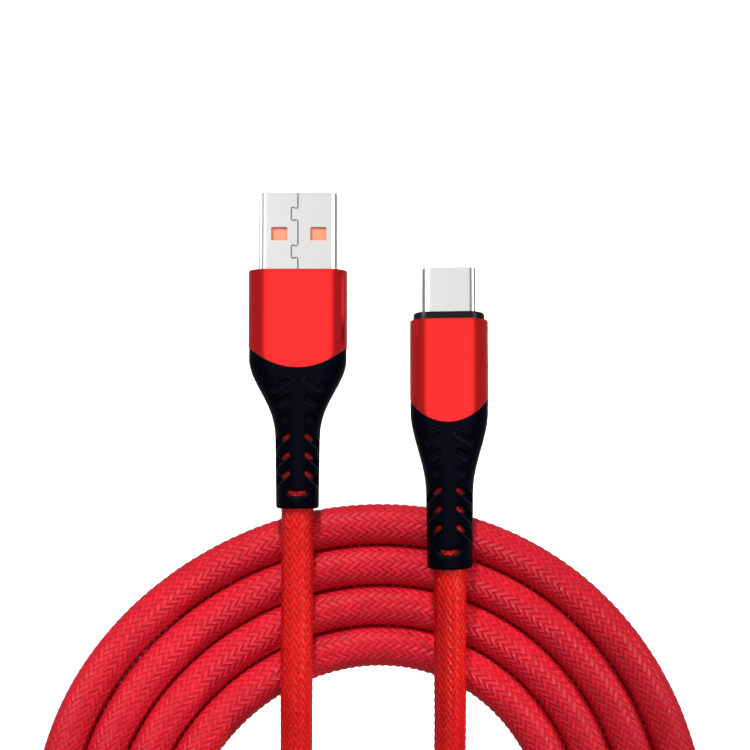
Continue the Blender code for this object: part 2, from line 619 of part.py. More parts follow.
def usb_c_board(frame):
    """The small circuit board, and the pull-up resistor on it."""
    half_w, top = C_BOARD_W / 2, C_BOARD_T / 2
    board = box((-half_w, C_BOARD_Y[0], -top), (half_w, C_BOARD_Y[1], top))
    piece("usb_c_board", board, "green_board", frame)
    half_w, chip_z = C_RESISTOR_W / 2, top + FINE_GAP
    chip = box((-half_w, C_RESISTOR_Y[0], chip_z), (half_w, C_RESISTOR_Y[1], chip_z + C_RESISTOR_H))
    piece("usb_c_resistor", chip, "grey_ceramic", frame)


def usb_c_plug():
    frame = plug_frame("usb_c_plug", C_ORIGIN, C_TILT, C_TWIST)
    round_r = C_SHELL_H / 2
    shell = (C_SHELL_W, C_SHELL_H, round_r, C_SHELL_WALL, C_SHELL_BACK, C_SHELL_FRONT, C_SHELL_EDGE)
    piece("usb_c_shell", sleeve(*shell), "steel", frame)
    usb_c_insulator(frame)
    usb_c_latches(frame)
    usb_c_board(frame)

    collar = block(C_COLLAR_W, C_COLLAR_H, C_COLLAR_R, C_COLLAR_BACK, C_COLLAR_FRONT, C_COLLAR_EDGE)
    collar = piece("usb_c_collar", collar, "black_plastic", frame)
    hole = (C_SHELL_W + 2 * FINE_GAP, C_SHELL_H + 2 * FINE_GAP, round_r + FINE_GAP)
    combine(collar, block(*hole, C_COLLAR_BACK - OVERCUT, C_COLLAR_FRONT + OVERCUT), "shell_hole")

    housing = {"w": C_HOUSING_W, "h": C_HOUSING_H, "corner": C_HOUSING_R, "wall": C_HOUSING_WALL}
    housing.update(half_w=C_HOUSING_W / 2, side=C_HOUSING_SIDE, middle=C_HOUSING_MIDDLE)
    housing_sleeve("usb_c_housing", housing, 0.0, None, frame)
    ends, channel_z = (C_MOULD_BACK, C_MOULD_FRONT), (-C_BOARD_CHANNEL_H / 2, C_BOARD_CHANNEL_H / 2)
    inner_mould("usb_c_inner_mould", housing, *ends, C_BOARD_CHANNEL_W, channel_z, frame)

    wire_z = C_BOARD_T / 2 + FINE_GAP + WIRE_R
    for job, finish, x, up in zip(WIRE_JOBS, WIRE_FINISHES, C_WIRE_X, WIRE_UP):
        start = Vector((x, C_BOARD_Y[0] + SOLDERED, up * wire_z))
        path = wire_path(start, C_BOARD_Y[0] - WIRE_R, C_CORD_END + GAP, math.copysign(1, x), up)
        piece(f"usb_c_wire_{job}", pipe(path, WIRE_R), finish, frame)
    strain_relief("usb_c_strain_relief", {**C_BOOT, "cord_end": C_CORD_END}, housing, frame)


# --- Cord ------------------------------------------------------------------------------------------
def smooth_points(route, step):
    """Points about a step apart along a smooth curve through the route's points."""
    points = [Vector(point) for point in route]
    points = [2 * points[0] - points[1]] + points + [2 * points[-1] - points[-2]]
    fine = []
    for a, b, c, d in zip(points, points[1:], points[2:], points[3:]):
        for i in range(FINE_STEPS):
            t = i / FINE_STEPS
            bend = (2 * a - 5 * b + 4 * c - d) * t * t + (3 * b - a - 3 * c + d) * t**3
            fine.append(b + (c - a) * t / 2 + bend / 2)
    fine.append(points[-2])
    lengths = [0.0]
    for near, far in zip(fine, fine[1:]):
        lengths.append(lengths[-1] + (far - near).length)
    count = max(2, round(lengths[-1] / step) + 1)
    at = np.linspace(0, lengths[-1], count)
    table = np.array([tuple(point) for point in fine])
    return [Vector(tuple(np.interp(s, lengths, table[:, k]) for k in range(3))) for s in at]


def lead(name, route):
    """A straight or gently bent stretch of the cord: a round curve with closed ends."""
    points = smooth_points(route, CORD_STEP)
    curve = bpy.data.curves.new(name, "CURVE")
    curve.dimensions = "3D"
    curve.bevel_depth = LEAD_R
    curve.bevel_resolution = 3
    curve.use_fill_caps = True
    spline = curve.splines.new("POLY")
    spline.points.add(len(points) - 1)
    for slot, point in zip(spline.points, points):
        slot.co = (*point, 1.0)
    curve.materials.append(material("red_braid"))
    placed(name, curve, None)


def coil():
    """The four turns as one ring of their outer shape, round at its two edges."""
    inner = COIL_INNER - COIL_R
    outer = COIL_INNER + COIL_PITCH * (COIL_TURNS - 1) + COIL_R
    edge = [(COIL_R * math.sin(angle), COIL_R * math.cos(angle)) for angle in half_turn()]
    profile = [(inner + COIL_R - out, COIL_R - up) for out, up in edge]
    profile += [(outer - COIL_R + out, COIL_R + up) for out, up in edge]
    rings = []
    for k in range(COIL_SIDES):
        turn = 2 * math.pi * k / COIL_SIDES
        rings.append([Vector((r * math.cos(turn), r * math.sin(turn), z)) for r, z in profile])
    ring = piece("cord_coil", skin(rings, closed=True), "red_braid", None)
    ring.location = COIL_CENTRE


def half_turn(steps=5):
    return [math.pi * i / steps for i in range(steps + 1)]


def main():
    clear_scene()
    usb_a_plug()
    usb_c_plug()
    lead("cord_usb_a_lead", LEAD_A_ROUTE)
    lead("cord_usb_c_lead", LEAD_C_ROUTE)
    coil()


main()
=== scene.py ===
"""The looks of the charging cable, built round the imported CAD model.

Everything is in metres in the model's own frame: +Z up, +Y towards the tips of the plugs. The braided cord
is one mesh along its whole route. The plugs' metal, steel and rubber pieces are built in each plug's own
axes, which come from its packed housing.
"""

import json
import math

import bmesh
import bpy
import numpy as np
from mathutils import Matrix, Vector


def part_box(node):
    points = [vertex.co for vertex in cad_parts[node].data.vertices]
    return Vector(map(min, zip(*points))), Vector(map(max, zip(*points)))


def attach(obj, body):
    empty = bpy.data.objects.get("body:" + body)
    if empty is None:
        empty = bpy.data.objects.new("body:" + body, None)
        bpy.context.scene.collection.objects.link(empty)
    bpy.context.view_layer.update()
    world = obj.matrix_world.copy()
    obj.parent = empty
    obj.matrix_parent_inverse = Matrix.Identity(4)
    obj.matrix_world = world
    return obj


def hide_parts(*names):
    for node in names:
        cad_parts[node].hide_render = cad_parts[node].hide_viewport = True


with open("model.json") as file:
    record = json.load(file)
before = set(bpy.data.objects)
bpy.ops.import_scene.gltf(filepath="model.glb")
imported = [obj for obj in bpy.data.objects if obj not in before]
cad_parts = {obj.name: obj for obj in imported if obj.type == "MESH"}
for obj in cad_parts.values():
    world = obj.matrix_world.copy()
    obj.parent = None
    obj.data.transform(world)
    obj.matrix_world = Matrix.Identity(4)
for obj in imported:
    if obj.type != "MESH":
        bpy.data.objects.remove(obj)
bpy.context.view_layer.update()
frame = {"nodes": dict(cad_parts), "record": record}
NODES = frame["nodes"]
MM = 0.001

# --- Cord: its route, as in part.py ----------------------------------------------------------------
LEAD_A_ROUTE = [
    (-0.01086, -0.00132, 0.00590),
    (-0.01086, -0.00966, 0.00686),
    (-0.01086, -0.01940, 0.00799),
    (-0.01086, -0.02300, 0.00839),
    (-0.01086, -0.02700, 0.00862),
    (-0.01087, -0.03200, 0.00867),
    (-0.01090, -0.03750, 0.00862),
    (-0.01095, -0.04250, 0.00850),
    (-0.01100, -0.04700, 0.00790),
    (-0.01105, -0.05200, 0.00640),
    (-0.01110, -0.05700, 0.00460),
    (-0.01112, -0.06200, 0.00330),
    (-0.01112, -0.06700, 0.00275),
    (-0.01110, -0.07200, 0.00265),
    (-0.01105, -0.07700, 0.00265),
    (-0.01085, -0.08250, 0.00265),
    (-0.01010, -0.08780, 0.00265),
    (-0.00860, -0.09250, 0.00265),
    (-0.00640, -0.09600, 0.00265),
]
LEAD_C_ROUTE = [
    (-0.04034, -0.10036, 0.00860),
    (-0.03477, -0.10700, 0.00860),
    (-0.02813, -0.11257, 0.00860),
    (-0.02063, -0.11690, 0.00860),
    (-0.01249, -0.11987, 0.00860),
    (-0.00732, -0.12054, 0.00860),
    (-0.00214, -0.11986, 0.00860),
    (0.00268, -0.11786, 0.00860),
    (0.00682, -0.11468, 0.00860),
    (0.01000, -0.11054, 0.00860),
    (0.01195, -0.10570, 0.00860),
    (0.01262, -0.10054, 0.00855),
    (0.01268, -0.09650, 0.00800),
    (0.01268, -0.09150, 0.00660),
    (0.01266, -0.08650, 0.00480),
    (0.01264, -0.08150, 0.00340),
    (0.01262, -0.07650, 0.00275),
    (0.01260, -0.07150, 0.00265),
    (0.01258, -0.06650, 0.00275),
    (0.01256, -0.06150, 0.00330),
    (0.01254, -0.05650, 0.00450),
    (0.01252, -0.05150, 0.00630),
    (0.01249, -0.04650, 0.00790),
    (0.01246, -0.04150, 0.00900),
    (0.01244, -0.03650, 0.00985),
    (0.01242, -0.03250, 0.01035),
    (0.01241, -0.02854, 0.01009),
    (0.01241, -0.01908, 0.00848),
    (0.01241, -0.00981, 0.00689),
]
coil_low, coil_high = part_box("cord_coil")
COIL_CENTRE = (coil_low + coil_high) / 2
TURN_R = (coil_high.z - coil_low.z) / 2
OUTER_TURN = (coil_high.x - coil_low.x) / 2 - TURN_R
TURN_PITCH, TURNS = 6.24 * MM, 4
INNER_TURN = OUTER_TURN - TURN_PITCH * (TURNS - 1)
ENTRY_ANGLE, ENTRY_BEND = 300.6, 18.0 * MM  # where the first lead joins the innermost turn, on a bend
ENTRY_STEPS = (240.0, 260.0, 280.0)
TURN_STEP = 15.0
SHIFT_FROM, SHIFT_TO = 185.0, 285.0  # where each turn moves out to the next
CLIMB_FROM, CLIMB_TO = 178.0, 215.0  # where the outermost turn rises over the others
LEAN, LEAN_WAVES, LEAN_PHASE = 0.5 * MM, 3, 35.0  # how far the hand-laid turns stray from a circle
LEAN_EASE = 60.0  # over how many degrees they start and stop straying
LEAD_R = 2.5 * MM
FLATTENING = 0.100  # how much wider than high the slack turns are
LEAD_A_END, LEAD_EASE = 70.0 * MM, 28.0 * MM  # where the cord thickens from its pulled to its slack size

# --- Braid -----------------------------------------------------------------------------------------
STITCH = 1.30 * MM  # along the cord
COLUMNS = 40  # crossings round the cord: two for each column of stitches
RELIEF = 0.22 * MM
WARM_LIGHT_RUN = 65.0 * MM, 110.0 * MM  # painted light: the same yarn is painted scarlet, as in warmer light, on the pulled ends up to the first, crimson past the second
CROSSING, STITCH_MIDDLE, STITCH_END, BETWEEN, PIT = 0.88, 1.0, 0.50, 0.25, 0.0
FILAMENTS, FILAMENT_RELIEF, STRAND_RELIEF = 4, 0.08, 0.17 * MM  # in each strand, and how far they bulge
CRIMSON = (0.55, 0.007, 0.019, 1), (0.63, 0.010, 0.026, 1)  # in soft patches of the one and the other
# Painted light: the crimson yarn's colour as it looks in warmer light, used on the pulled ends.
SCARLET_IN_WARM_LIGHT = (0.60, 0.005, 0.005, 1), (0.70, 0.008, 0.007, 1)
# Painted shadow: the colour that the pits between the crossings are darkened to.
PIT_SHADOW_COLOUR = (0.20, 0.001, 0.003, 1)
YARN_ROUGHNESS, ROUGHNESS_SPREAD = 0.29, 0.08
PIT_SHADOW_FROM, PIT_SHADOW_TO = 0.15, 0.25  # how far off both strands' middles the painted shadow in a pit begins and is full
PAINTED_FACE_SHADE, PAINTED_EDGE_SHADE, PAINTED_FILAMENT_SHADE = 1.01, -0.14, 0.05  # painted shade: what colours are multiplied by, darker towards each strand's edges and between its filaments, lighter on the filaments
TONE_SPREAD = 0.16  # between the lightest and the darkest strand
STRAND_OFFSET = 0.37  # keeps the left-hand strands' tones apart from the right-hand ones'

# --- Camera ----------------------------------------------------------------------------------------
AIM = Vector((1.0, 0.92)) * MM
CAMERA_HEIGHT, LENS, SENSOR, CLIP = 501.8 * MM, 155.0, 36.0, (0.01, 20.0)


# --- Small tools -----------------------------------------------------------------------------------
def smoothstep(t):
    t = np.clip(t, 0.0, 1.0)
    return t * t * (3 - 2 * t)


def in_scene(thing):
    bpy.context.scene.collection.objects.link(thing)
    return thing


def shown(name, mesh, slot, replaced=()):
    """Puts a mesh in the scene as a piece of the object, in its slot's finish, riding on its one body."""
    made = in_scene(bpy.data.objects.new(name, mesh))
    mesh.materials.clear()
    mesh.materials.append(FINISH[slot])
    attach(made, "root")
    if replaced:
        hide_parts(*replaced)
    return made


def level(piece):
    """Shades the piece's flat faces flat, right up to the rounded edges that they meet."""
    weighted = piece.modifiers.new("weighted_normals", "WEIGHTED_NORMAL")
    weighted.keep_sharp = True
    return piece


def smooth(mesh, sharp=0.0):
    """Shades the mesh smooth, and keeps the edges over an angle sharp if one is given, in degrees."""
    mesh.shade_smooth()
    if sharp:
        mesh.set_sharp_from_angle(angle=math.radians(sharp))
    return mesh


def mesh_of(name, points, faces, sharp=0.0):
    mesh = bpy.data.meshes.new(name)
    mesh.from_pydata([tuple(p) for p in points], [], faces)
    mesh.update()
    return smooth(mesh, sharp)


# --- Cord ------------------------------------------------------------------------------------------
def round_coil(angle, radius):
    """A point over the coil's floor plan at an angle, in degrees, about its middle."""
    turn = math.radians(angle)
    return np.array([COIL_CENTRE.x + radius * math.cos(turn), COIL_CENTRE.y + radius * math.sin(turn)])


def coil_points():
    """The turns from the inside out, anticlockwise, each shifting out to the next out of sight."""
    last = CLIMB_TO + 360 * TURNS
    climb = CLIMB_FROM + 360 * TURNS
    top = LEAD_C_ROUTE[0][2]
    points = []
    for angle in np.arange(ENTRY_ANGLE, last - TURN_STEP / 2, TURN_STEP):
        done, within = divmod(angle, 360)
        shift = smoothstep((within - SHIFT_FROM) / (SHIFT_TO - SHIFT_FROM))
        turn = min(max(done - 1 + shift, 0.0), TURNS - 1)
        settled = smoothstep((angle - ENTRY_ANGLE) / LEAN_EASE) * smoothstep((climb - angle) / LEAN_EASE)
        stray = LEAN * settled * math.sin(math.radians(LEAN_WAVES * (angle - LEAN_PHASE)))
        x, y = round_coil(angle, INNER_TURN + TURN_PITCH * turn + stray)
        rise = smoothstep((angle - climb) / (last - climb))
        points.append((x, y, TURN_R + (top - TURN_R) * rise))
    return points


def entry_points():
    """The bend on which the first lead runs into the innermost turn."""
    middle = round_coil(ENTRY_ANGLE, INNER_TURN - ENTRY_BEND)
    start = LEAD_A_ROUTE[-1][2]
    points = []
    for i, angle in enumerate(ENTRY_STEPS):
        turn = math.radians(angle)
        z = start + (TURN_R - start) * (i + 1) / (len(ENTRY_STEPS) + 1)
        points.append((*(middle + ENTRY_BEND * np.array([math.cos(turn), math.sin(turn)])), z))
    return points


def spline(points, step, finer=3):
    """Points a step apart along a natural cubic spline through the given ones, and how far along each is."""
    points = np.array(points)
    count = len(points)
    chord = np.concatenate([[0], np.cumsum(np.linalg.norm(np.diff(points, axis=0), axis=1))])
    gap = np.diff(chord)
    system, right = np.eye(count), np.zeros((count, 3))
    for i in range(1, count - 1):
        system[i, i - 1 : i + 2] = gap[i - 1], 2 * (gap[i - 1] + gap[i]), gap[i]
        right[i] = (points[i + 1] - points[i]) / gap[i] - (points[i] - points[i - 1]) / gap[i - 1]
    bend = np.linalg.solve(system, 6 * right)
    at = np.linspace(0, chord[-1], int(chord[-1] / step) * finer)
    k = np.clip(np.searchsorted(chord, at, side="right") - 1, 0, count - 2)
    t, h = (at - chord[k])[:, None], gap[k][:, None]
    slope = (points[k + 1] - points[k]) / h - h * (2 * bend[k] + bend[k + 1]) / 6
    fine = points[k] + slope * t + bend[k] * t**2 / 2 + (bend[k + 1] - bend[k]) * t**3 / (6 * h)
    run = np.concatenate([[0], np.cumsum(np.linalg.norm(np.diff(fine, axis=0), axis=1))])
    even = np.linspace(0, run[-1], int(run[-1] / step) + 1)
    return np.stack([np.interp(even, run, fine[:, axis]) for axis in range(3)], axis=1), even


def carried_frames(line):
    """Two directions across the line at each point, carried along it without twist."""
    along = np.gradient(line, axis=0)
    along /= np.linalg.norm(along, axis=1)[:, None]
    side = np.cross(along[0], (0, 0, 1))
    sides = np.empty_like(line)
    for i, ahead in enumerate(along):
        side = side - ahead * side.dot(ahead)
        side = side / np.linalg.norm(side)
        sides[i] = side
    return sides, np.cross(along, sides)


def slackness(run):
    """From 0, where the cord is pulled straight, to 1 in the turns of the coil."""
    start_slack = smoothstep((run - LEAD_A_END) / LEAD_EASE)
    lead_c = sum((Vector(b) - Vector(a)).length for a, b in zip(LEAD_C_ROUTE, LEAD_C_ROUTE[1:]))
    end_slack = smoothstep((run[-1] - lead_c - run) / LEAD_EASE)
    return start_slack * end_slack


def braid_heights(rings):
    """How high each vertex of the braid stands, from 0 in a pit to 1 on a stitch.

    Rings 2r hold the points (column c, row r), rings 2r + 1 the points half a column and row further on.
    A crossing lies where c + r is even. Over columns 0 and 1 of each four the right-hand strands pass on
    top, over columns 2 and 3 the left-hand ones, which gives the rows of V-shaped stitches.
    """
    heights = np.empty((rings, COLUMNS))
    column = np.arange(COLUMNS)
    for ring in range(rings):
        row = ring // 2
        even = (column + row) % 2 == 0
        if ring % 2 == 0:
            heights[ring] = np.where(even, CROSSING, PIT)
            continue
        place = column % 4
        on_top = np.where(even, place == 0, place == 2)
        beneath = np.where(even, place == 2, place == 0)
        heights[ring] = np.where(on_top, STITCH_MIDDLE, np.where(beneath, BETWEEN, STITCH_END))
    return heights


def braided_tube(line, run):
    """The cord's skin: a diamond mesh on the crossings of the braid, closed at both ends."""
    rings = len(line)
    sides, ups = carried_frames(line)
    angles = 2 * np.pi * (np.arange(COLUMNS)[None, :] + 0.5 * (np.arange(rings)[:, None] % 2)) / COLUMNS
    slack = slackness(run)[:, None]
    outer = np.minimum(LEAD_R + (TURN_R - LEAD_R) * slack, line[:, 2:3])
    radius = outer - RELIEF * (1 - braid_heights(rings))
    radius *= 1 + FLATTENING * slack * np.cos(angles) ** 2
    across = np.cos(angles)[..., None] * sides[:, None, :] + np.sin(angles)[..., None] * ups[:, None, :]
    points = (line[:, None, :] + radius[..., None] * across).reshape(-1, 3)

    ring, c = np.meshgrid(np.arange(rings - 2), np.arange(COLUMNS), indexing="ij")
    odd = ring % 2
    right = c + odd
    left = c - 1 + odd
    corners = [(ring, c), (ring + 1, right), (ring + 2, c), (ring + 1, left)]
    quads = np.stack([r * COLUMNS + col % COLUMNS for r, col in corners], axis=-1).reshape(-1, 4)
    u = np.stack([c + 0.5 * odd, c + 0.5 * odd + 0.5, c + 0.5 * odd, c + 0.5 * odd - 0.5], axis=-1)
    v = np.stack([ring * 0.5, ring * 0.5 + 0.5, ring * 0.5 + 1, ring * 0.5 + 0.5], axis=-1)
    lattice = np.stack([u, v], axis=-1).reshape(-1, 2)

    faces = quads[:, ::-1].tolist()
    lattice = lattice.reshape(-1, 4, 2)[:, ::-1].reshape(-1, 2)
    ends = []
    for first, second, flip in ((0, 1, False), (rings - 1, rings - 2, True)):
        shift = 1 if first % 2 == 0 else 0
        for col in range(COLUMNS):
            near, far = col, (col + 1) % COLUMNS
            middle = (col + 1 - shift) % COLUMNS
            face = [first * COLUMNS + near, first * COLUMNS + far, second * COLUMNS + middle]
            ends.append(face[::-1] if flip else face)
        cap = [first * COLUMNS + col for col in range(COLUMNS)]
        ends.append(cap if flip else cap[::-1])
    mesh = mesh_of("braided_cord", points, faces + ends)
    layer = mesh.uv_layers.new(name="braid")
    padding = sum(len(face) for face in ends)
    values = np.concatenate([lattice, np.zeros((padding, 2))]).astype(np.float32)
    layer.data.foreach_set("uv", values.ravel())
    return mesh


def cord_line():
    """The cord's middle line from the USB-A plug to the USB-C plug, and how far along it each point is."""
    return spline(LEAD_A_ROUTE + entry_points() + coil_points() + LEAD_C_ROUTE, STITCH / 4)


def cord():
    line, run = cord_line()
    made = shown(
        "braided_cord",
        braided_tube(line, run),
        "red_braid",
        ("cord_coil", "cord_usb_a_lead", "cord_usb_c_lead"),
    )


# --- Finishes --------------------------------------------------------------------------------------
class Finish:
    """A Principled BSDF and the nodes that feed it."""

    def __init__(self, name, **sockets):
        self.material = bpy.data.materials.new(name)
        self.material.use_nodes = True
        self.tree = self.material.node_tree
        self.shader = self.tree.nodes["Principled BSDF"]
        for socket, value in sockets.items():
            self.shader.inputs[socket.replace("_", " ")].default_value = value

    def node(self, kind, **settings):
        made = self.tree.nodes.new(kind)
        for name, value in settings.items():
            setattr(made, name, value)
        return made

    def feed(self, socket, value):
        if isinstance(value, bpy.types.NodeSocket):
            self.tree.links.new(value, socket)
        else:
            socket.default_value = value

    def maths(self, operation, *values):
        made = self.node("ShaderNodeMath", operation=operation)
        for socket, value in zip(made.inputs, values):
            self.feed(socket, value)
        return made.outputs[0]

    def ramp(self, value, low, high, to_low=0.0, to_high=1.0):
        made = self.node("ShaderNodeMapRange", clamp=True, interpolation_type="SMOOTHSTEP")
        for socket, given in zip(made.inputs, (value, low, high, to_low, to_high)):
            self.feed(socket, given)
        return made.outputs[0]

    def mix(self, share, low, high, blend="MIX"):
        made = self.node("ShaderNodeMix", data_type="RGBA", blend_type=blend)
        self.feed(made.inputs["Factor"], share)
        self.feed(made.inputs["A"], low)
        self.feed(made.inputs["B"], high)
        return made.outputs["Result"]

    def noise(self, scale, detail=2.0, stretch=(1, 1, 1), roughness=0.5):
        where = self.node("ShaderNodeTexCoord").outputs["Object"]
        place = self.node("ShaderNodeMapping")
        self.feed(place.inputs["Vector"], where)
        place.inputs["Scale"].default_value = stretch
        made = self.node("ShaderNodeTexNoise")
        self.feed(made.inputs["Vector"], place.outputs[0])
        made.inputs["Scale"].default_value = scale
        made.inputs["Detail"].default_value = detail
        made.inputs["Roughness"].default_value = roughness
        return made.outputs["Fac"]

    def bump(self, height, strength, distance):
        made = self.node("ShaderNodeBump")
        made.inputs["Strength"].default_value = strength
        made.inputs["Distance"].default_value = distance
        self.feed(made.inputs["Height"], height)
        self.feed(self.shader.inputs["Normal"], made.outputs[0])

    def wire(self, socket, value):
        self.feed(self.shader.inputs[socket], value)


def braid_finish():
    """Glossy multi-filament yarn, plaited: the map holds each point's column and row in the braid. Its
    colour has painted shade at the strands' edges, between their filaments and in the pits, and painted
    warmer light on the pulled ends.
    """
    f = Finish("red_braid", Specular_IOR_Level=0.17)
    place = f.node("ShaderNodeSeparateXYZ")
    f.feed(place.inputs[0], f.node("ShaderNodeUVMap", uv_map="braid").outputs[0])
    column, row = place.outputs[0], place.outputs[1]
    right = f.maths("MULTIPLY", f.maths("SUBTRACT", row, column), 0.5)
    left = f.maths("MULTIPLY", f.maths("ADD", row, column), 0.5)
    right_strand, left_strand = f.maths("ROUND", right), f.maths("ROUND", left)
    off_right = f.maths("SUBTRACT", right, right_strand)
    off_left = f.maths("SUBTRACT", left, left_strand)
    crossing = f.maths("FLOORED_MODULO", f.maths("SUBTRACT", left_strand, right_strand), 4.0)
    right_on_top = f.maths("LESS_THAN", crossing, 1.5)
    left_on_top = f.maths("SUBTRACT", 1.0, right_on_top)

    def of_top(from_right, from_left):
        parts = [f.maths("MULTIPLY", from_right, right_on_top), f.maths("MULTIPLY", from_left, left_on_top)]
        return f.maths("ADD", *parts)

    off = of_top(off_right, off_left)
    strand = of_top(right_strand, f.maths("ADD", left_strand, STRAND_OFFSET))
    filaments = f.maths("SINE", f.maths("MULTIPLY", off, 2 * math.pi * FILAMENTS))
    crown = f.maths("COSINE", f.maths("MULTIPLY", off, math.pi))
    corner = f.maths("MULTIPLY", f.maths("ABSOLUTE", off_right), f.maths("ABSOLUTE", off_left))
    pit_shadow = f.ramp(corner, PIT_SHADOW_FROM, PIT_SHADOW_TO)

    tone = f.node("ShaderNodeTexWhiteNoise", noise_dimensions="1D")
    f.feed(tone.inputs["W"], strand)
    patch = f.noise(260.0, 3.0)
    crimson, scarlet_in_warm_light = f.mix(patch, *CRIMSON), f.mix(patch, *SCARLET_IN_WARM_LIGHT)
    rows = float(cord_line()[1][-1]) / (STITCH / 2)
    pulled, loose = [run / (STITCH / 2) for run in WARM_LIGHT_RUN]
    # Painted light: the pulled ends take the scarlet of warmer light, fading to crimson along the cord.
    slack = f.maths("MULTIPLY", f.ramp(row, pulled, loose), f.ramp(row, rows - pulled, rows - loose))
    colour = f.mix(slack, scarlet_in_warm_light, crimson)
    # Painted shade and highlight: darker towards each strand's edges, lighter on its filaments and darker
    # between them; own_shade is each strand's own random tone.
    edge = f.maths("SUBTRACT", 1.0, crown)
    own_shade = f.maths("MULTIPLY_ADD", tone.outputs["Value"], TONE_SPREAD, -TONE_SPREAD / 2)
    shade = f.maths("MULTIPLY_ADD", edge, PAINTED_EDGE_SHADE, PAINTED_FACE_SHADE)
    shade = f.maths("ADD", shade, own_shade)
    shade = f.maths("ADD", shade, f.maths("MULTIPLY", filaments, PAINTED_FILAMENT_SHADE))
    grey = f.node("ShaderNodeCombineColor")
    for socket in grey.inputs[:3]:
        f.feed(socket, shade)
    colour = f.mix(1.0, colour, grey.outputs[0], "MULTIPLY")
    # Painted shadow in the pits between the strands.
    f.wire("Base Color", f.mix(pit_shadow, colour, PIT_SHADOW_COLOUR))
    roughness = f.maths("MULTIPLY_ADD", tone.outputs["Value"], ROUGHNESS_SPREAD, YARN_ROUGHNESS)
    f.wire("Roughness", roughness)
    relief = f.maths("ADD", crown, f.maths("MULTIPLY", filaments, FILAMENT_RELIEF))
    f.bump(relief, 1.0, STRAND_RELIEF)
    return f.material


def dimmed(colour, share=1.0):
    """The colour at a share of its brightness, as a socket takes it."""
    return (*[share * part for part in colour], 1)


def metal(name, colour, roughness, stretch, grain, depth):
    """Metal with a fine directional grain."""
    f = Finish(name, Metallic=1.0)
    lines = f.noise(grain, 4.0, stretch)
    f.wire("Base Color", f.mix(lines, dimmed(colour, 0.96), dimmed(colour)))
    f.wire("Roughness", f.maths("MULTIPLY_ADD", lines, 0.08, roughness - 0.04))
    f.bump(lines, 0.25, depth)
    return f.material


def moulded(name, colour, roughness, grain=5200.0, depth=0.012 * MM, **sockets):
    """Moulded plastic or rubber with a fine spark-eroded texture and uneven gloss."""
    f = Finish(name, **sockets)
    grains, cloud = f.noise(grain, 3.0), f.noise(420.0, 2.0)
    f.wire("Base Color", f.mix(cloud, dimmed(colour, 0.86), dimmed(colour)))
    f.wire("Roughness", f.maths("MULTIPLY_ADD", cloud, 0.12, roughness - 0.06))
    f.bump(grains, 0.5, depth)
    return f.material


def finishes():
    """One finish for each material slot of the record."""
    return {
        "red_braid": braid_finish(),
        "red_aluminium": metal("red_aluminium", (0.98, 0.029, 0.030), 0.30, (1, 1, 1), 9000.0, 0.004 * MM),
        "steel": metal("steel", (0.565, 0.56, 0.555), 0.12, (1, 0.04, 1), 5000.0, 0.001 * MM),
        "gold_plate": metal("gold_plate", (0.95, 0.68, 0.30), 0.22, (1, 0.1, 1), 6000.0, 0.001 * MM),
        "black_rubber": moulded("black_rubber", (0.0003, 0.0008, 0.0040), 0.34, Specular_IOR_Level=0.035),
        "black_plastic": moulded("black_plastic", (0.003, 0.003, 0.004), 0.26, Specular_IOR_Level=0.12),
        "orange_plastic": moulded("orange_plastic", (0.72, 0.200, 0.105), 0.42),
        "white_mould": moulded("white_mould", (0.80, 0.78, 0.72), 0.45),
        "green_board": moulded("green_board", (0.02, 0.16, 0.05), 0.30),
        "grey_ceramic": moulded("grey_ceramic", (0.25, 0.24, 0.23), 0.50),
        "red_wire": moulded("red_wire", (0.70, 0.03, 0.03), 0.38),
        "white_wire": moulded("white_wire", (0.82, 0.82, 0.80), 0.38),
        "green_wire": moulded("green_wire", (0.03, 0.35, 0.08), 0.38),
        "black_wire": moulded("black_wire", (0.02, 0.02, 0.02), 0.38),
    }


FINISH = finishes()


# --- Plugs -----------------------------------------------------------------------------------------
class Plug:
    """A plug's own axes, found from its housing: X across, Y to the tip, Z up, from the housing's front."""

    def __init__(self, housing):
        points = self.corners(housing)
        middle = points.mean(axis=0)
        spread = np.linalg.svd(points - middle, full_matrices=False)[2]
        nearest = [max(spread, key=lambda way, i=i: abs(way[i])) for i in range(3)]
        axes = np.array([way * np.sign(way[i]) for i, way in enumerate(nearest)])
        local = (points - middle) @ axes.T
        start = (local.max(axis=0) + local.min(axis=0)) / 2
        start[1] = local[:, 1].max()
        self.axes, self.origin = axes, middle + start @ axes

    @staticmethod
    def corners(node):
        return np.unique(np.round([v.co for v in NODES[node].data.vertices], 6), axis=0)

    def span(self, node):
        """The lowest and highest corner of a CAD node in the plug's own axes."""
        local = (self.corners(node) - self.origin) @ self.axes.T
        return local.min(axis=0), local.max(axis=0)

    def size(self, node):
        low, high = self.span(node)
        return high - low

    def place(self, points):
        return np.asarray(points) @ self.axes + self.origin


def section(width, height, radius, corner_steps=12, flat_steps=16):
    """A rounded rectangle across the plug's axis, as points (x, z) with both flats divided evenly."""
    radius = min(radius, 0.999 * min(width, height) / 2)
    half_w, half_h = width / 2 - radius, height / 2 - radius
    ring = []
    for corner, (sx, sz) in enumerate(((1, 1), (-1, 1), (-1, -1), (1, -1))):
        for i in range(corner_steps + 1):
            angle = math.pi / 2 * (corner + i / corner_steps)
            ring.append((sx * half_w + radius * math.cos(angle), sz * half_h + radius * math.sin(angle)))
        if corner % 2 == 0:
            for i in range(1, flat_steps):
                ring.append((sx * half_w * (1 - 2 * i / flat_steps), sz * (half_h + radius)))
    return np.array(ring)


def ring_at(outline, y):
    """The outline (x, z) as a ring of points at y, a number or one for each point."""
    return np.stack([outline[:, 0], np.broadcast_to(y, len(outline)), outline[:, 1]], axis=1)


SHARP = 30.0  # the edges of the plugs' pieces stay sharp over this angle


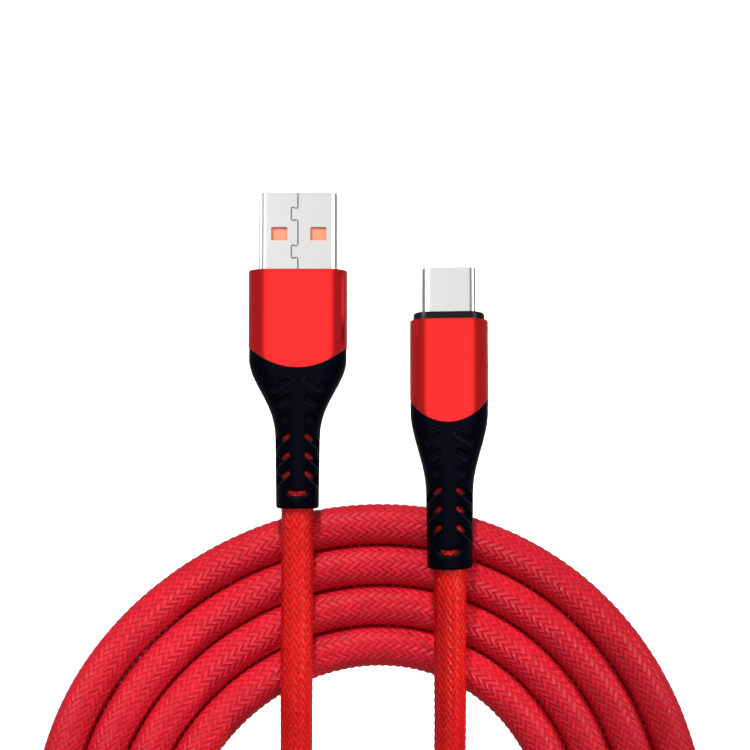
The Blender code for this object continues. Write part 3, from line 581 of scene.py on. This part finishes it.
def loft(name, rings, plug, loop=False):
    """A skin over rings of points in the plug's axes: capped, or closed from the last to the first."""
    count, total = len(rings[0]), len(rings)
    faces = []
    for r in range(total if loop else total - 1):
        far = (r + 1) % total
        for i in range(count):
            j = (i + 1) % count
            faces.append((r * count + i, r * count + j, far * count + j, far * count + i))
    if not loop:
        faces.append(tuple(range(count))[::-1])
        faces.append(tuple(range((total - 1) * count, total * count)))
    mesh = mesh_of(name, plug.place(np.concatenate(rings)), faces, SHARP)
    bm = bmesh.new()
    bm.from_mesh(mesh)
    bmesh.ops.recalc_face_normals(bm, faces=bm.faces)
    bm.to_mesh(mesh)
    bm.free()
    return mesh


def rounded_back(x, half_w, side, middle):
    """Where a housing's curved rear edge lies at x, on an arc from its sides to its middle."""
    rise = middle - side
    radius = (half_w**2 + rise**2) / (2 * abs(rise))
    return middle + radius - np.sqrt(radius**2 - np.minimum(np.abs(x), half_w) ** 2)


def rim(radius, steps=4):
    """A rounded edge as (inset, set back) pairs, from the side face round to the end face."""
    turns = [math.pi / 2 * i / steps for i in range(steps + 1)]
    return [(radius * (1 - math.cos(a)), radius * (1 - math.sin(a))) for a in turns]


HOUSING_RIM, HOUSING_ROWS = 0.06 * MM, 20
LEAST_CORNER = 0.3 * MM


def housing(plug, name, node, boot, wall, front_wall=0.0, opening=None):
    """The anodised sleeve, its rear cut on an arc where its boot starts, its front open or walled."""
    width, length, height = plug.size(node)

    def outline(inset):
        return section(width - 2 * inset, height - 2 * inset, max(boot["corner"] - inset, LEAST_CORNER))

    def rear(inset, forward=0.0):
        shape = outline(inset)
        return ring_at(shape, rounded_back(shape[:, 0], width / 2, boot["side"], -length) + forward)

    rings = [rear(wall)] + [rear(inset, back) for inset, back in reversed(rim(HOUSING_RIM))]
    body, back_edge = outline(0.0), rear(0.0, HOUSING_RIM)[:, 1]
    for i in range(1, HOUSING_ROWS):
        rings.append(ring_at(body, back_edge + (-HOUSING_RIM - back_edge) * i / HOUSING_ROWS))
    rings += [ring_at(outline(inset), -back) for inset, back in rim(HOUSING_RIM)]
    if front_wall:
        rings += [ring_at(section(*opening), y) for y in (0.0, -front_wall)]
    rings.append(ring_at(outline(wall), -front_wall))
    mesh = loft(name, rings, plug, loop=True)
    made = level(shown(name, mesh, "red_aluminium", (node,)))
    made.visible_glossy = False  # so that the other plug doesn't mirror it


def sleeve(plug, name, node, corner, wall, edge):
    """A steel shell: an open sleeve with a rounded front lip."""
    low, high = plug.span(node)
    width, height = high[0] - low[0], high[2] - low[2]
    rings = [ring_at(section(width, height, corner), low[1])]
    for inset, back in rim(edge):
        shape = section(width - 2 * inset, height - 2 * inset, corner - inset)
        rings.append(ring_at(shape, high[1] - back))
    hole = section(width - 2 * wall, height - 2 * wall, max(corner - wall, LEAST_CORNER))
    rings += [ring_at(hole, high[1] - edge / 2), ring_at(hole, low[1])]
    return loft(name, rings, plug, loop=True)


def closed_body(rings, plug, bm):
    """A body over rings of points in the plug's axes, capped at both ends and added to bm."""
    rings = [[bm.verts.new(plug.place(point)) for point in ring] for ring in rings]
    for before, after in zip(rings, rings[1:]):
        for i in range(len(before)):
            j = (i + 1) % len(before)
            bm.faces.new((before[i], before[j], after[j], after[i]))
    bm.faces.new(rings[0][::-1])
    bm.faces.new(rings[-1])


def prism(outlines, heights, plug, bm):
    """A body between two outlines (x, y), seen from above, each at its height, added to bm."""
    closed_body([[(x, y, z) for x, y in outline] for outline, z in zip(outlines, heights)], plug, bm)


def cut(mesh, bm):
    """The mesh with the closed bodies in bm taken out of it."""
    bmesh.ops.recalc_face_normals(bm, faces=bm.faces)
    tool_mesh = bpy.data.meshes.new("cutter")
    bm.to_mesh(tool_mesh)
    bm.free()
    body = in_scene(bpy.data.objects.new("uncut", mesh))
    tool = in_scene(bpy.data.objects.new("cutter", tool_mesh))
    boolean = body.modifiers.new("cut", "BOOLEAN")
    boolean.operation, boolean.solver, boolean.object = "DIFFERENCE", "EXACT", tool
    boolean.use_self = True
    evaluated = body.evaluated_get(bpy.context.evaluated_depsgraph_get())
    made = bpy.data.meshes.new_from_object(evaluated)
    for thing in (body, tool):
        bpy.data.objects.remove(thing)
    return made


def bar(path, width):
    """The outline of a band of even width along a flat path (x, y), its ends cut square."""
    path = np.array(path)
    along = np.gradient(path, axis=0)
    along /= np.linalg.norm(along, axis=1)[:, None]
    across = np.stack([-along[:, 1], along[:, 0]], axis=1) * width / 2
    return np.concatenate([path + across, (path - across)[::-1]])


def eased(path, radius, steps=5):
    """The path with each corner replaced by a curve that starts radius before it and ends as far past."""
    path = [Vector(point) for point in path]
    points = [path[0]]
    for before, here, after in zip(path, path[1:], path[2:]):
        reach = min(radius, (before - here).length * 0.49, (after - here).length * 0.49)
        start = here + (before - here).normalized() * reach
        end = here + (after - here).normalized() * reach
        for i in range(steps + 1):
            t = i / steps
            points.append(start.lerp(here, t).lerp(here.lerp(end, t), t))
    return points + [path[-1]]


# --- USB-A plug ------------------------------------------------------------------------------------
A_WALL, A_FRONT_WALL, A_OPENING = 0.7 * MM, 0.8 * MM, (12.2 * MM, 4.7 * MM, 1.1 * MM)
# Half widths and heights, places behind the housing's front, the tail's slope and how the flare narrows.
A_BOOT = {
    "shoulder": -13.6 * MM,
    "neck": -27.1 * MM,
    "lean": 0.08,
    "front_w": 7.50 * MM,
    "neck_w": 3.42 * MM,
    "tail_w": 3.28 * MM,
    "front_h": 3.74 * MM,
    "tail_h": 3.28 * MM,
    "waist": 1.6,
    "slot_y": -16.7 * MM,
    "smile_y": -34.3 * MM,
    "corner": 3.0 * MM,
    "side": -11.8 * MM,
}
SHELL_CORNER, SHELL_WALL, SHELL_LIP = 1.0 * MM, 0.3 * MM, 0.12 * MM
WINDOW_X, WINDOW_W = (-2.85 * MM, 3.15 * MM), 2.5 * MM
WINDOW_Y, WINDOW_R = (4.60 * MM, 6.70 * MM), 0.25 * MM
SEAM_W, SEAM_ROOT, SEAM_DEPTH = 0.24 * MM, 0.01 * MM, 0.27 * MM
SEAM_TAB, SEAM_FLARE, SEAM_R = 1.0 * MM, 0.3 * MM, 0.40 * MM
SEAM_TABS = ((2.07 * MM, 3.67 * MM), (7.91 * MM, 9.55 * MM))


def rounded_box(low, high, radius, steps=4):
    """A rounded rectangle between two corners (x, y)."""
    middle = (np.array(low) + high) / 2
    size = np.array(high) - low
    return section(*size, radius, steps, 2) + middle


def usb_a_shell(plug):
    """The folded steel shell, its rolled seam with two dovetail tabs, and four windows."""
    low, high = plug.span("usb_a_shell")
    windows = bmesh.new()
    for x in WINDOW_X:
        outline = rounded_box((x - WINDOW_W / 2, WINDOW_Y[0]), (x + WINDOW_W / 2, WINDOW_Y[1]), WINDOW_R)
        prism([outline] * 2, (2 * low[2], 2 * high[2]), plug, windows)
    path = [(0.0, low[1] - MM)]
    for near, far in SEAM_TABS:
        path += [(0.0, near), (-SEAM_TAB, near - SEAM_FLARE), (-SEAM_TAB, far + SEAM_FLARE), (0.0, far)]
    path.append((0.0, high[1] + MM))
    line = eased(path, SEAM_R)
    outlines = bar(line, SEAM_ROOT), bar(line, 2 * SEAM_W - SEAM_ROOT)
    prism(outlines, (high[2] - SEAM_DEPTH, high[2] + SEAM_DEPTH), plug, windows)
    steel = sleeve(plug, "usb_a_steel", "usb_a_shell", SHELL_CORNER, SHELL_WALL, SHELL_LIP)
    mesh = smooth(cut(steel, windows), SHARP)
    level(shown("usb_a_steel", mesh, "steel", ("usb_a_shell",)))


def usb_a():
    plug = Plug("usb_a_housing")
    usb_a_shell(plug)
    housing(plug, "usb_a_sleeve", "usb_a_housing", A_BOOT, A_WALL, A_FRONT_WALL, A_OPENING)
    strain_relief(plug, "usb_a_boot", "usb_a_strain_relief", "usb_a_housing", A_BOOT)


# --- USB-C plug ------------------------------------------------------------------------------------
C_WALL, C_SHELL_WALL, C_SHELL_LIP = 0.4 * MM, 0.22 * MM, 0.1 * MM
COLLAR_R, COLLAR_EDGE, SHELL_FIT = 2.4 * MM, 0.3 * MM, 0.1 * MM
C_BOOT = {
    "shoulder": -14.0 * MM,
    "neck": -27.1 * MM,
    "lean": 0.22,
    "front_w": 5.95 * MM,
    "neck_w": 3.60 * MM,
    "tail_w": 3.46 * MM,
    "front_h": 3.40 * MM,
    "tail_h": 3.30 * MM,
    "waist": 1.15,
    "slot_y": -17.5 * MM,
    "smile_y": -35.95 * MM,
    "corner": 2.9 * MM,
    "side": -12.15 * MM,
}


def usb_c():
    plug = Plug("usb_c_housing")
    height = plug.size("usb_c_shell")[2]
    steel = sleeve(plug, "usb_c_steel", "usb_c_shell", height / 2, C_SHELL_WALL, C_SHELL_LIP)
    level(shown("usb_c_steel", steel, "steel", ("usb_c_shell",)))
    housing(plug, "usb_c_sleeve", "usb_c_housing", C_BOOT, C_WALL)
    collar(plug)
    strain_relief(plug, "usb_c_boot", "usb_c_strain_relief", "usb_c_housing", C_BOOT)


def collar(plug):
    """The black ring between the steel shell and the sleeve."""
    low, high = plug.span("usb_c_collar")
    width, height = high[0] - low[0], high[2] - low[2]
    shell = plug.size("usb_c_shell")
    rings = [ring_at(section(width, height, COLLAR_R), low[1])]
    for inset, back in rim(COLLAR_EDGE, steps=6):
        shape = section(width - 2 * inset, height - 2 * inset, COLLAR_R - inset)
        rings.append(ring_at(shape, high[1] - back))
    hole = section(shell[0] + 2 * SHELL_FIT, shell[2] + 2 * SHELL_FIT, shell[2] / 2 + SHELL_FIT)
    rings += [ring_at(hole, high[1]), ring_at(hole, low[1])]
    mesh = loft("usb_c_ring", rings, plug, loop=True)
    shown("usb_c_ring", mesh, "black_plastic", ("usb_c_collar",))


# --- Strain reliefs --------------------------------------------------------------------------------
BOOT_ROWS, BOOT_EDGE, BOOT_LAP, LEAN_RUN = 60, 0.45 * MM, 0.06 * MM, 3.0 * MM
BOOT_VOXEL, BOOT_SMOOTHING = 0.12 * MM, 3
# Six pairs of fishbone slots: the first three are blind, the last three open on the cord through holes.
SLOT_PITCH, SLOTS, OPEN_SLOTS = 2.87 * MM, 6, 3
SLOT_W, SLOT_INNER_X, SLOT_SLOPE, SLOT_FLOOR = 1.15 * MM, 1.05 * MM, 0.70, 0.9 * MM
BLIND_DEPTH, BLIND_RUN, BLIND_RIM, RECESS_DEPTH = 0.7 * MM, 3.6 * MM, 0.9 * MM, 0.50 * MM
HOLE_INSET, HOLE_L, HOLE_W = 0.18 * MM, 1.40 * MM, 0.68 * MM
# The smiling slot, which also opens on the cord, and the narrower hole in it.
SMILE_HALF, SMILE_W, SMILE_SAG = 2.15 * MM, 1.50 * MM, 0.30 * MM
HOLE_HALF, SMILE_HOLE_W, SMILE_TRIM = 1.60 * MM, 0.95 * MM, 0.97
GROOVE_TOP = 4.5 * MM  # over the boots' highest point, from which the grooves are cut
LEAST_SHARE = 0.04  # of its width that a band keeps at the tip of its round end, squared
BORE_FIT, SPIGOT = 0.08 * MM, 1.2 * MM  # the spigot is as far set in as it is long


def boot_sizes(boot, y, tail):
    """Half the width, half the height and the corner radius of a strain relief at y."""
    t = (y - boot["shoulder"]) / (boot["neck"] - boot["shoulder"])
    flare = (1 - smoothstep(t)) ** boot["waist"]
    past_neck = np.clip((y - boot["neck"]) / (tail - boot["neck"]), 0, 1)
    narrow_w = boot["neck_w"] + (boot["tail_w"] - boot["neck_w"]) * past_neck
    half_w = narrow_w + (boot["front_w"] - boot["neck_w"]) * flare
    half_h = boot["tail_h"] + (boot["front_h"] - boot["tail_h"]) * flare
    return half_w, half_h, boot["corner"] + (half_h - boot["corner"]) * smoothstep(t)


def boot_ring(boot, y, tail, inset=0.0):
    half_w, half_h, corner = boot_sizes(boot, y, tail)
    return section(2 * (half_w - inset), 2 * (half_h - inset), corner - inset)


def boot_body(boot, plug, tail, middle):
    """The boot without its slots: its front follows the housing's rear edge, its tail edge is rounded."""
    first = boot_ring(boot, boot["side"], tail)
    front = rounded_back(first[:, 0], boot["front_w"], boot["side"], middle) + BOOT_LAP
    spigot = boot_ring(boot, boot["side"], tail, SPIGOT)
    rings = [ring_at(spigot, front + SPIGOT), ring_at(spigot, front)]
    last = tail + BOOT_EDGE
    for i in range(BOOT_ROWS + 1):
        y = front + (last - front) * i / BOOT_ROWS
        shape = np.array([boot_ring(boot, at, tail)[k] for k, at in enumerate(y)])
        rings.append(ring_at(shape, y))
    for inset, back in rim(BOOT_EDGE)[1:]:
        rings.append(ring_at(boot_ring(boot, tail, tail, inset), tail + back))
    # The tail leans back at the top, against the tilt of the plug.
    for ring in rings:
        near_tail = smoothstep((tail + LEAN_RUN - ring[:, 1]) / LEAN_RUN)
        ring[:, 1] -= boot["lean"] * ring[:, 2] * near_tail
    return loft("boot", rings, plug)


def surface_height(half_w, half_h, corner, x):
    """How high the outline of a rounded rectangle stands over its middle at x."""
    past = min(max((abs(x) - half_w + corner) / corner, 0.0), 1.0)
    return half_h - corner + corner * math.sqrt(1 - past**2)


def slot_cutters(boot, plug, tail, bm):
    """The fishbone slots and the smiling one near the tail, above and below: each is a wide recess.

    The recesses of the last slots and of the smile follow the boot's round surface, and each has a
    narrower opening in it, down to the cord.
    """

    def recess(y, edges, top):
        sizes = [size - RECESS_DEPTH for size in boot_sizes(boot, y, tail)]
        groove(edges, lambda x: max(surface_height(*sizes, x), SLOT_FLOOR), top, plug, bm)

    for top in (1, -1):
        for i in range(SLOTS):
            y = boot["slot_y"] - i * SLOT_PITCH
            half_w, half_h = boot_sizes(boot, y, tail)[:2]
            blind = i < SLOTS - OPEN_SLOTS
            reach = min(half_w - BLIND_RIM, SLOT_INNER_X + BLIND_RUN) if blind else half_w + MM
            for side in (-1, 1):
                inner = Vector((side * SLOT_INNER_X, y))
                outer = Vector((side * reach, y - SLOT_SLOPE * (reach - SLOT_INNER_X)))
                if blind:
                    wide = round_bar(inner, outer, SLOT_W)
                    prism([wide] * 2, (top * (half_h - BLIND_DEPTH), top * (half_h + MM)), plug, bm)
                    continue
                recess(y, bar_edges(inner, outer, SLOT_W), top)
                along = (outer - inner).normalized()
                start = inner + along * HOLE_INSET
                hole = round_bar(start, start + along * HOLE_L, HOLE_W, both_ends=True)
                prism([hole] * 2, (top * SLOT_FLOOR, top * half_h), plug, bm)
        recess(boot["smile_y"], smile(boot["smile_y"], SMILE_HALF, SMILE_W), top)
        narrow = np.array(smile(boot["smile_y"], HOLE_HALF, SMILE_HOLE_W))
        outline = [*narrow[:, 0], *narrow[::-1, 1]]
        prism([outline] * 2, (top * SLOT_FLOOR, top * boot["tail_h"]), plug, bm)


def groove(edges, floor_at, top, plug, bm):
    """A cutter over a strip between pairs of edge points (x, y), its floor at floor_at(x), added to bm."""
    rings = []
    for near, far in edges:
        roof = [(*near, GROOVE_TOP), (*far, GROOVE_TOP)]
        ring = roof + [(*far, floor_at(far[0])), (*near, floor_at(near[0]))]
        rings.append([(x, y, top * z) for x, y, z in ring])
    closed_body(rings, plug, bm)


def bar_edges(start, end, width, steps=18):
    """Pairs of edge points along a straight band with a round end at start."""
    along = (end - start).normalized()
    across = Vector((-along.y, along.x)) * width / 2
    length = (end - start).length
    edges = []
    for i in range(steps + 1):
        run = length * (1 - math.cos(math.pi / 2 * i / steps))
        share = math.sqrt(max(1 - max(1 - 2 * run / width, 0.0) ** 2, LEAST_SHARE))
        here = start + along * run
        edges.append((tuple(here + across * share), tuple(here - across * share)))
    return edges


def smile(y, half, width, steps=13):
    """Pairs of edge points of a crescent, whose upper edge sags a little and whose lower one sags more."""
    edges = []
    for t in np.linspace(-SMILE_TRIM, SMILE_TRIM, steps):
        upper = y + width / 2 + SMILE_SAG * (t * t - 1)
        edges.append(((half * t, upper), (half * t, y - width / 2 + width * t**4)))
    return edges


def round_bar(start, end, width, both_ends=False, steps=8):
    """The outline of a straight band with a round end at start, and at its other end if both_ends."""
    along = (end - start).normalized()
    across = Vector((-along.y, along.x))
    first, last = start + along * width / 2, end - along * width / 2
    turns = [math.pi * i / steps for i in range(steps + 1)]
    arc = [(across * math.cos(a) - along * math.sin(a)) * width / 2 for a in turns]
    outline = [first + reach for reach in arc]
    if both_ends:
        return outline + [last - reach for reach in arc]
    return outline + [end - across * width / 2, end + across * width / 2]


def strain_relief(plug, name, node, housing_node, boot):
    """The moulded rubber boot with its fishbone slots, softened as a moulding is."""
    tail = plug.span(node)[0][1] + boot["lean"] * boot["tail_h"]
    middle = plug.span(housing_node)[0][1]
    cutters = bmesh.new()
    slot_cutters(boot, plug, tail, cutters)
    bore_r = LEAD_R + BORE_FIT
    bore = section(2 * bore_r, 2 * bore_r, bore_r)
    closed_body([ring_at(bore, y) for y in (middle + MM, tail - MM)], plug, cutters)
    mesh = cut(boot_body(boot, plug, tail, middle), cutters)
    made = shown(name, mesh, "black_rubber", (node,))
    made.visible_glossy = False  # so that the other plug doesn't mirror it
    remesh = made.modifiers.new("remesh", "REMESH")
    remesh.mode, remesh.voxel_size, remesh.use_smooth_shade = "VOXEL", BOOT_VOXEL, True
    soften = made.modifiers.new("soften", "SMOOTH")
    soften.factor, soften.iterations = 0.5, BOOT_SMOOTHING


# --- Studio ----------------------------------------------------------------------------------------
SKY, SOFTBOX = 0.375, 1.36
SOFTBOX_AT = Vector((0.05, 0.28, 0.957))
SOFTBOX_EDGE = (35.0, 13.0)  # degrees off its middle, where its light ends and where it is full
AIM_OF_LAMPS = Vector((0.0, -0.03, 0.0))
FLOOR_HALF, FLOOR_DROP = 3.0, 0.05 * MM
EDGE_LIGHT, EDGE_AWAY, EDGE_LONG = 2.6, 0.40, 0.50
EDGE_LAMPS = (  # the shell that mirrors each, its side, and the heights that it spans, in degrees
    ("usb_a_steel", -1, 58, 84),
    ("usb_a_steel", -1, -30, 28),
    ("usb_a_steel", 1, 6, 62),
    ("usb_c_steel", -1, -2, 78),
    ("usb_c_steel", 1, -12, 26),
)
PAPER_LIGHTS, PAPER_HEIGHT, PAPER_AWAY = (20, 70, 160, 250, 290), 40.0, 1.2
PAPER_LIGHT_SIZE, PAPER_LIGHT_POWER = (0.9, 0.9), 22.0
BOOTS = ("usb_a_boot", "usb_c_boot")
OUTSIDES = ("floor", "braided_cord", "usb_a_sleeve", "usb_c_sleeve", "usb_a_steel", "usb_c_steel", *BOOTS)
SOFT_BOXES = (  # each one's name, place, size and power, and what it lights or leaves out
    ("key", (-0.42, 0.46, 0.40), (0.26, 0.22), 9.0, {"unlit": OUTSIDES}),
    ("fill", (0.46, 0.30, 0.42), (0.36, 0.28), 2.0, {"unlit": OUTSIDES}),
    ("front_fill", (0.05, -0.62, 0.50), (0.50, 0.28), 2.2, {"unlit": OUTSIDES}),
    ("boot_light", (0.0, 0.55, 0.26), (0.30, 0.12), 5.0, {"lit": BOOTS}),
    ("cord_light", (0.0, -0.02, 0.80), (1.6, 1.6), 2.7, {"lit": ("braided_cord",)}),
)
SPOT_AWAY, SPOT_SOFTNESS = 0.45, 0.02
SPOTS = (  # what each lights, the direction and height that it comes from, how wide it shines, its power
    ((-0.041, -0.041), 155.0, 42.0, 0.032, 7.9),
    ((0.000, -0.024), 95.0, 35.0, 0.045, 7.3),
    ((0.000, -0.046), 8.0, 22.0, 0.030, 7.4),
    ((0.000, -0.112), -90.0, 40.0, 0.042, 6.5),
)


def camera():
    lens = bpy.data.cameras.new("camera")
    lens.lens, lens.sensor_width = LENS, SENSOR
    lens.clip_start, lens.clip_end = CLIP
    made = in_scene(bpy.data.objects.new("camera", lens))
    made.location = (AIM.x, AIM.y, CAMERA_HEIGHT)
    bpy.context.scene.camera = made


def sky():
    """An even soft light from all round, with one bright soft box overhead that the plugs' flats mirror."""
    world = bpy.data.worlds.new("softbox_sky")
    world.use_nodes = True
    tree = world.node_tree
    where = tree.nodes.new("ShaderNodeTexCoord")
    nearness = tree.nodes.new("ShaderNodeVectorMath")
    nearness.operation = "DOT_PRODUCT"
    nearness.inputs[1].default_value = SOFTBOX_AT.normalized()
    light = tree.nodes.new("ShaderNodeMapRange")
    light.interpolation_type = "SMOOTHSTEP"
    edge = [math.cos(math.radians(angle)) for angle in SOFTBOX_EDGE]
    for socket, value in zip(light.inputs[1:5], (*edge, SKY, SOFTBOX)):
        socket.default_value = value
    tree.links.new(where.outputs["Generated"], nearness.inputs[0])
    tree.links.new(nearness.outputs["Value"], light.inputs[0])
    tree.links.new(light.outputs[0], tree.nodes["Background"].inputs["Strength"])
    tree.nodes["Background"].inputs["Color"].default_value = (1, 1, 1, 1)
    bpy.context.scene.world = world


def floor():
    corners = [(FLOOR_HALF * x, FLOOR_HALF * y, 0) for x, y in ((-1, -1), (1, -1), (1, 1), (-1, 1))]
    made = in_scene(bpy.data.objects.new("floor", mesh_of("floor", corners, [(0, 1, 2, 3)])))
    made.location.z = -FLOOR_DROP
    paper = Finish("white_paper", Roughness=0.9, Specular_IOR_Level=0.0)
    paper.wire("Base Color", paper.mix(paper.noise(900.0), (0.93, 0.93, 0.93, 1), (0.95, 0.95, 0.95, 1)))
    made.data.materials.append(paper.material)
    made.visible_glossy = made.visible_diffuse = False


def link(made, lit, unlit):
    """A lamp lights only the pieces in lit, or all but those in unlit."""
    chosen = bpy.data.collections.new(f"{made.name}_receivers")
    for piece in lit or unlit:
        chosen.objects.link(bpy.data.objects[piece])
    for entry in chosen.collection_objects:
        entry.light_linking.link_state = "INCLUDE" if lit else "EXCLUDE"
    made.light_linking.receiver_collection = chosen


def hang(name, light, place, aim, lit=(), unlit=()):
    made = in_scene(bpy.data.objects.new(name, light))
    made.location = place
    made.rotation_euler = (aim - made.location).to_track_quat("-Z", "Y").to_euler()
    made.visible_camera = False
    link(made, lit, unlit)


def soft_box(name, place, size, power, aim=AIM_OF_LAMPS, **pieces):
    light = bpy.data.lights.new(name, "AREA")
    light.shape, light.energy = "RECTANGLE", power
    light.size, light.size_y = size
    hang(name, light, place, aim, **pieces)


def from_far(azimuth, height, away):
    """The place at a distance in a direction given by its azimuth and its height, in degrees."""
    way, up = math.radians(azimuth), math.radians(height)
    return Vector((math.cos(up) * math.cos(way), math.cos(up) * math.sin(way), math.sin(up))) * away


def edge_lamp(shell, side, low, high):
    """A panel between two heights, in degrees, that one rounded edge of a steel shell mirrors."""
    box = bpy.data.objects[shell].bound_box
    aim = Vector(box[0]).lerp(Vector(box[6]), 0.5)
    middle, half = math.radians((low + high) / 2), math.radians((high - low) / 2)
    place = aim + Vector((side * math.cos(middle), 0, math.sin(middle))) * EDGE_AWAY
    tall = 2 * EDGE_AWAY * math.tan(half)
    power = EDGE_LIGHT * math.pi * tall * EDGE_LONG
    soft_box(f"{shell}_edge_{side}_{high}", place, (EDGE_LONG, tall), power, aim, lit=[shell])


def spot(name, at, azimuth, height, reach, power):
    """A narrow soft-edged beam on the cord."""
    light = bpy.data.lights.new(name, "SPOT")
    light.energy, light.shadow_soft_size = power, SPOT_SOFTNESS
    light.spot_size, light.spot_blend = 2 * math.atan(reach / SPOT_AWAY), 1.0
    aim = Vector((*at, TURN_R))
    hang(name, light, aim + from_far(azimuth, height, SPOT_AWAY), aim, lit=["braided_cord"])


def lamps():
    for name, place, size, power, pieces in SOFT_BOXES:
        soft_box(name, place, size, power, **pieces)
    for azimuth in PAPER_LIGHTS:
        place = from_far(azimuth, PAPER_HEIGHT, PAPER_AWAY)
        soft_box(f"paper_light_{azimuth}", place, PAPER_LIGHT_SIZE, PAPER_LIGHT_POWER, lit=["floor"])
    for shell, side, low, high in EDGE_LAMPS:
        edge_lamp(shell, side, low, high)
    for number, beam in enumerate(SPOTS):
        spot(f"spot_{number}", *beam)


# --- The scene -------------------------------------------------------------------------------------
BURIED = ("inner_mould", "wire", "board", "resistor")  # pieces that the housings close in
for part in frame["record"]["subparts"]:
    for place in NODES[part["node"]].material_slots:
        place.material = FINISH[part["material_slot"]]
    if any(word in part["node"] for word in BURIED):
        NODES[part["node"]].visible_glossy = False
camera()
cord()
usb_a()
usb_c()
sky()
floor()
lamps()
bpy.context.scene.view_settings.view_transform = "Standard"
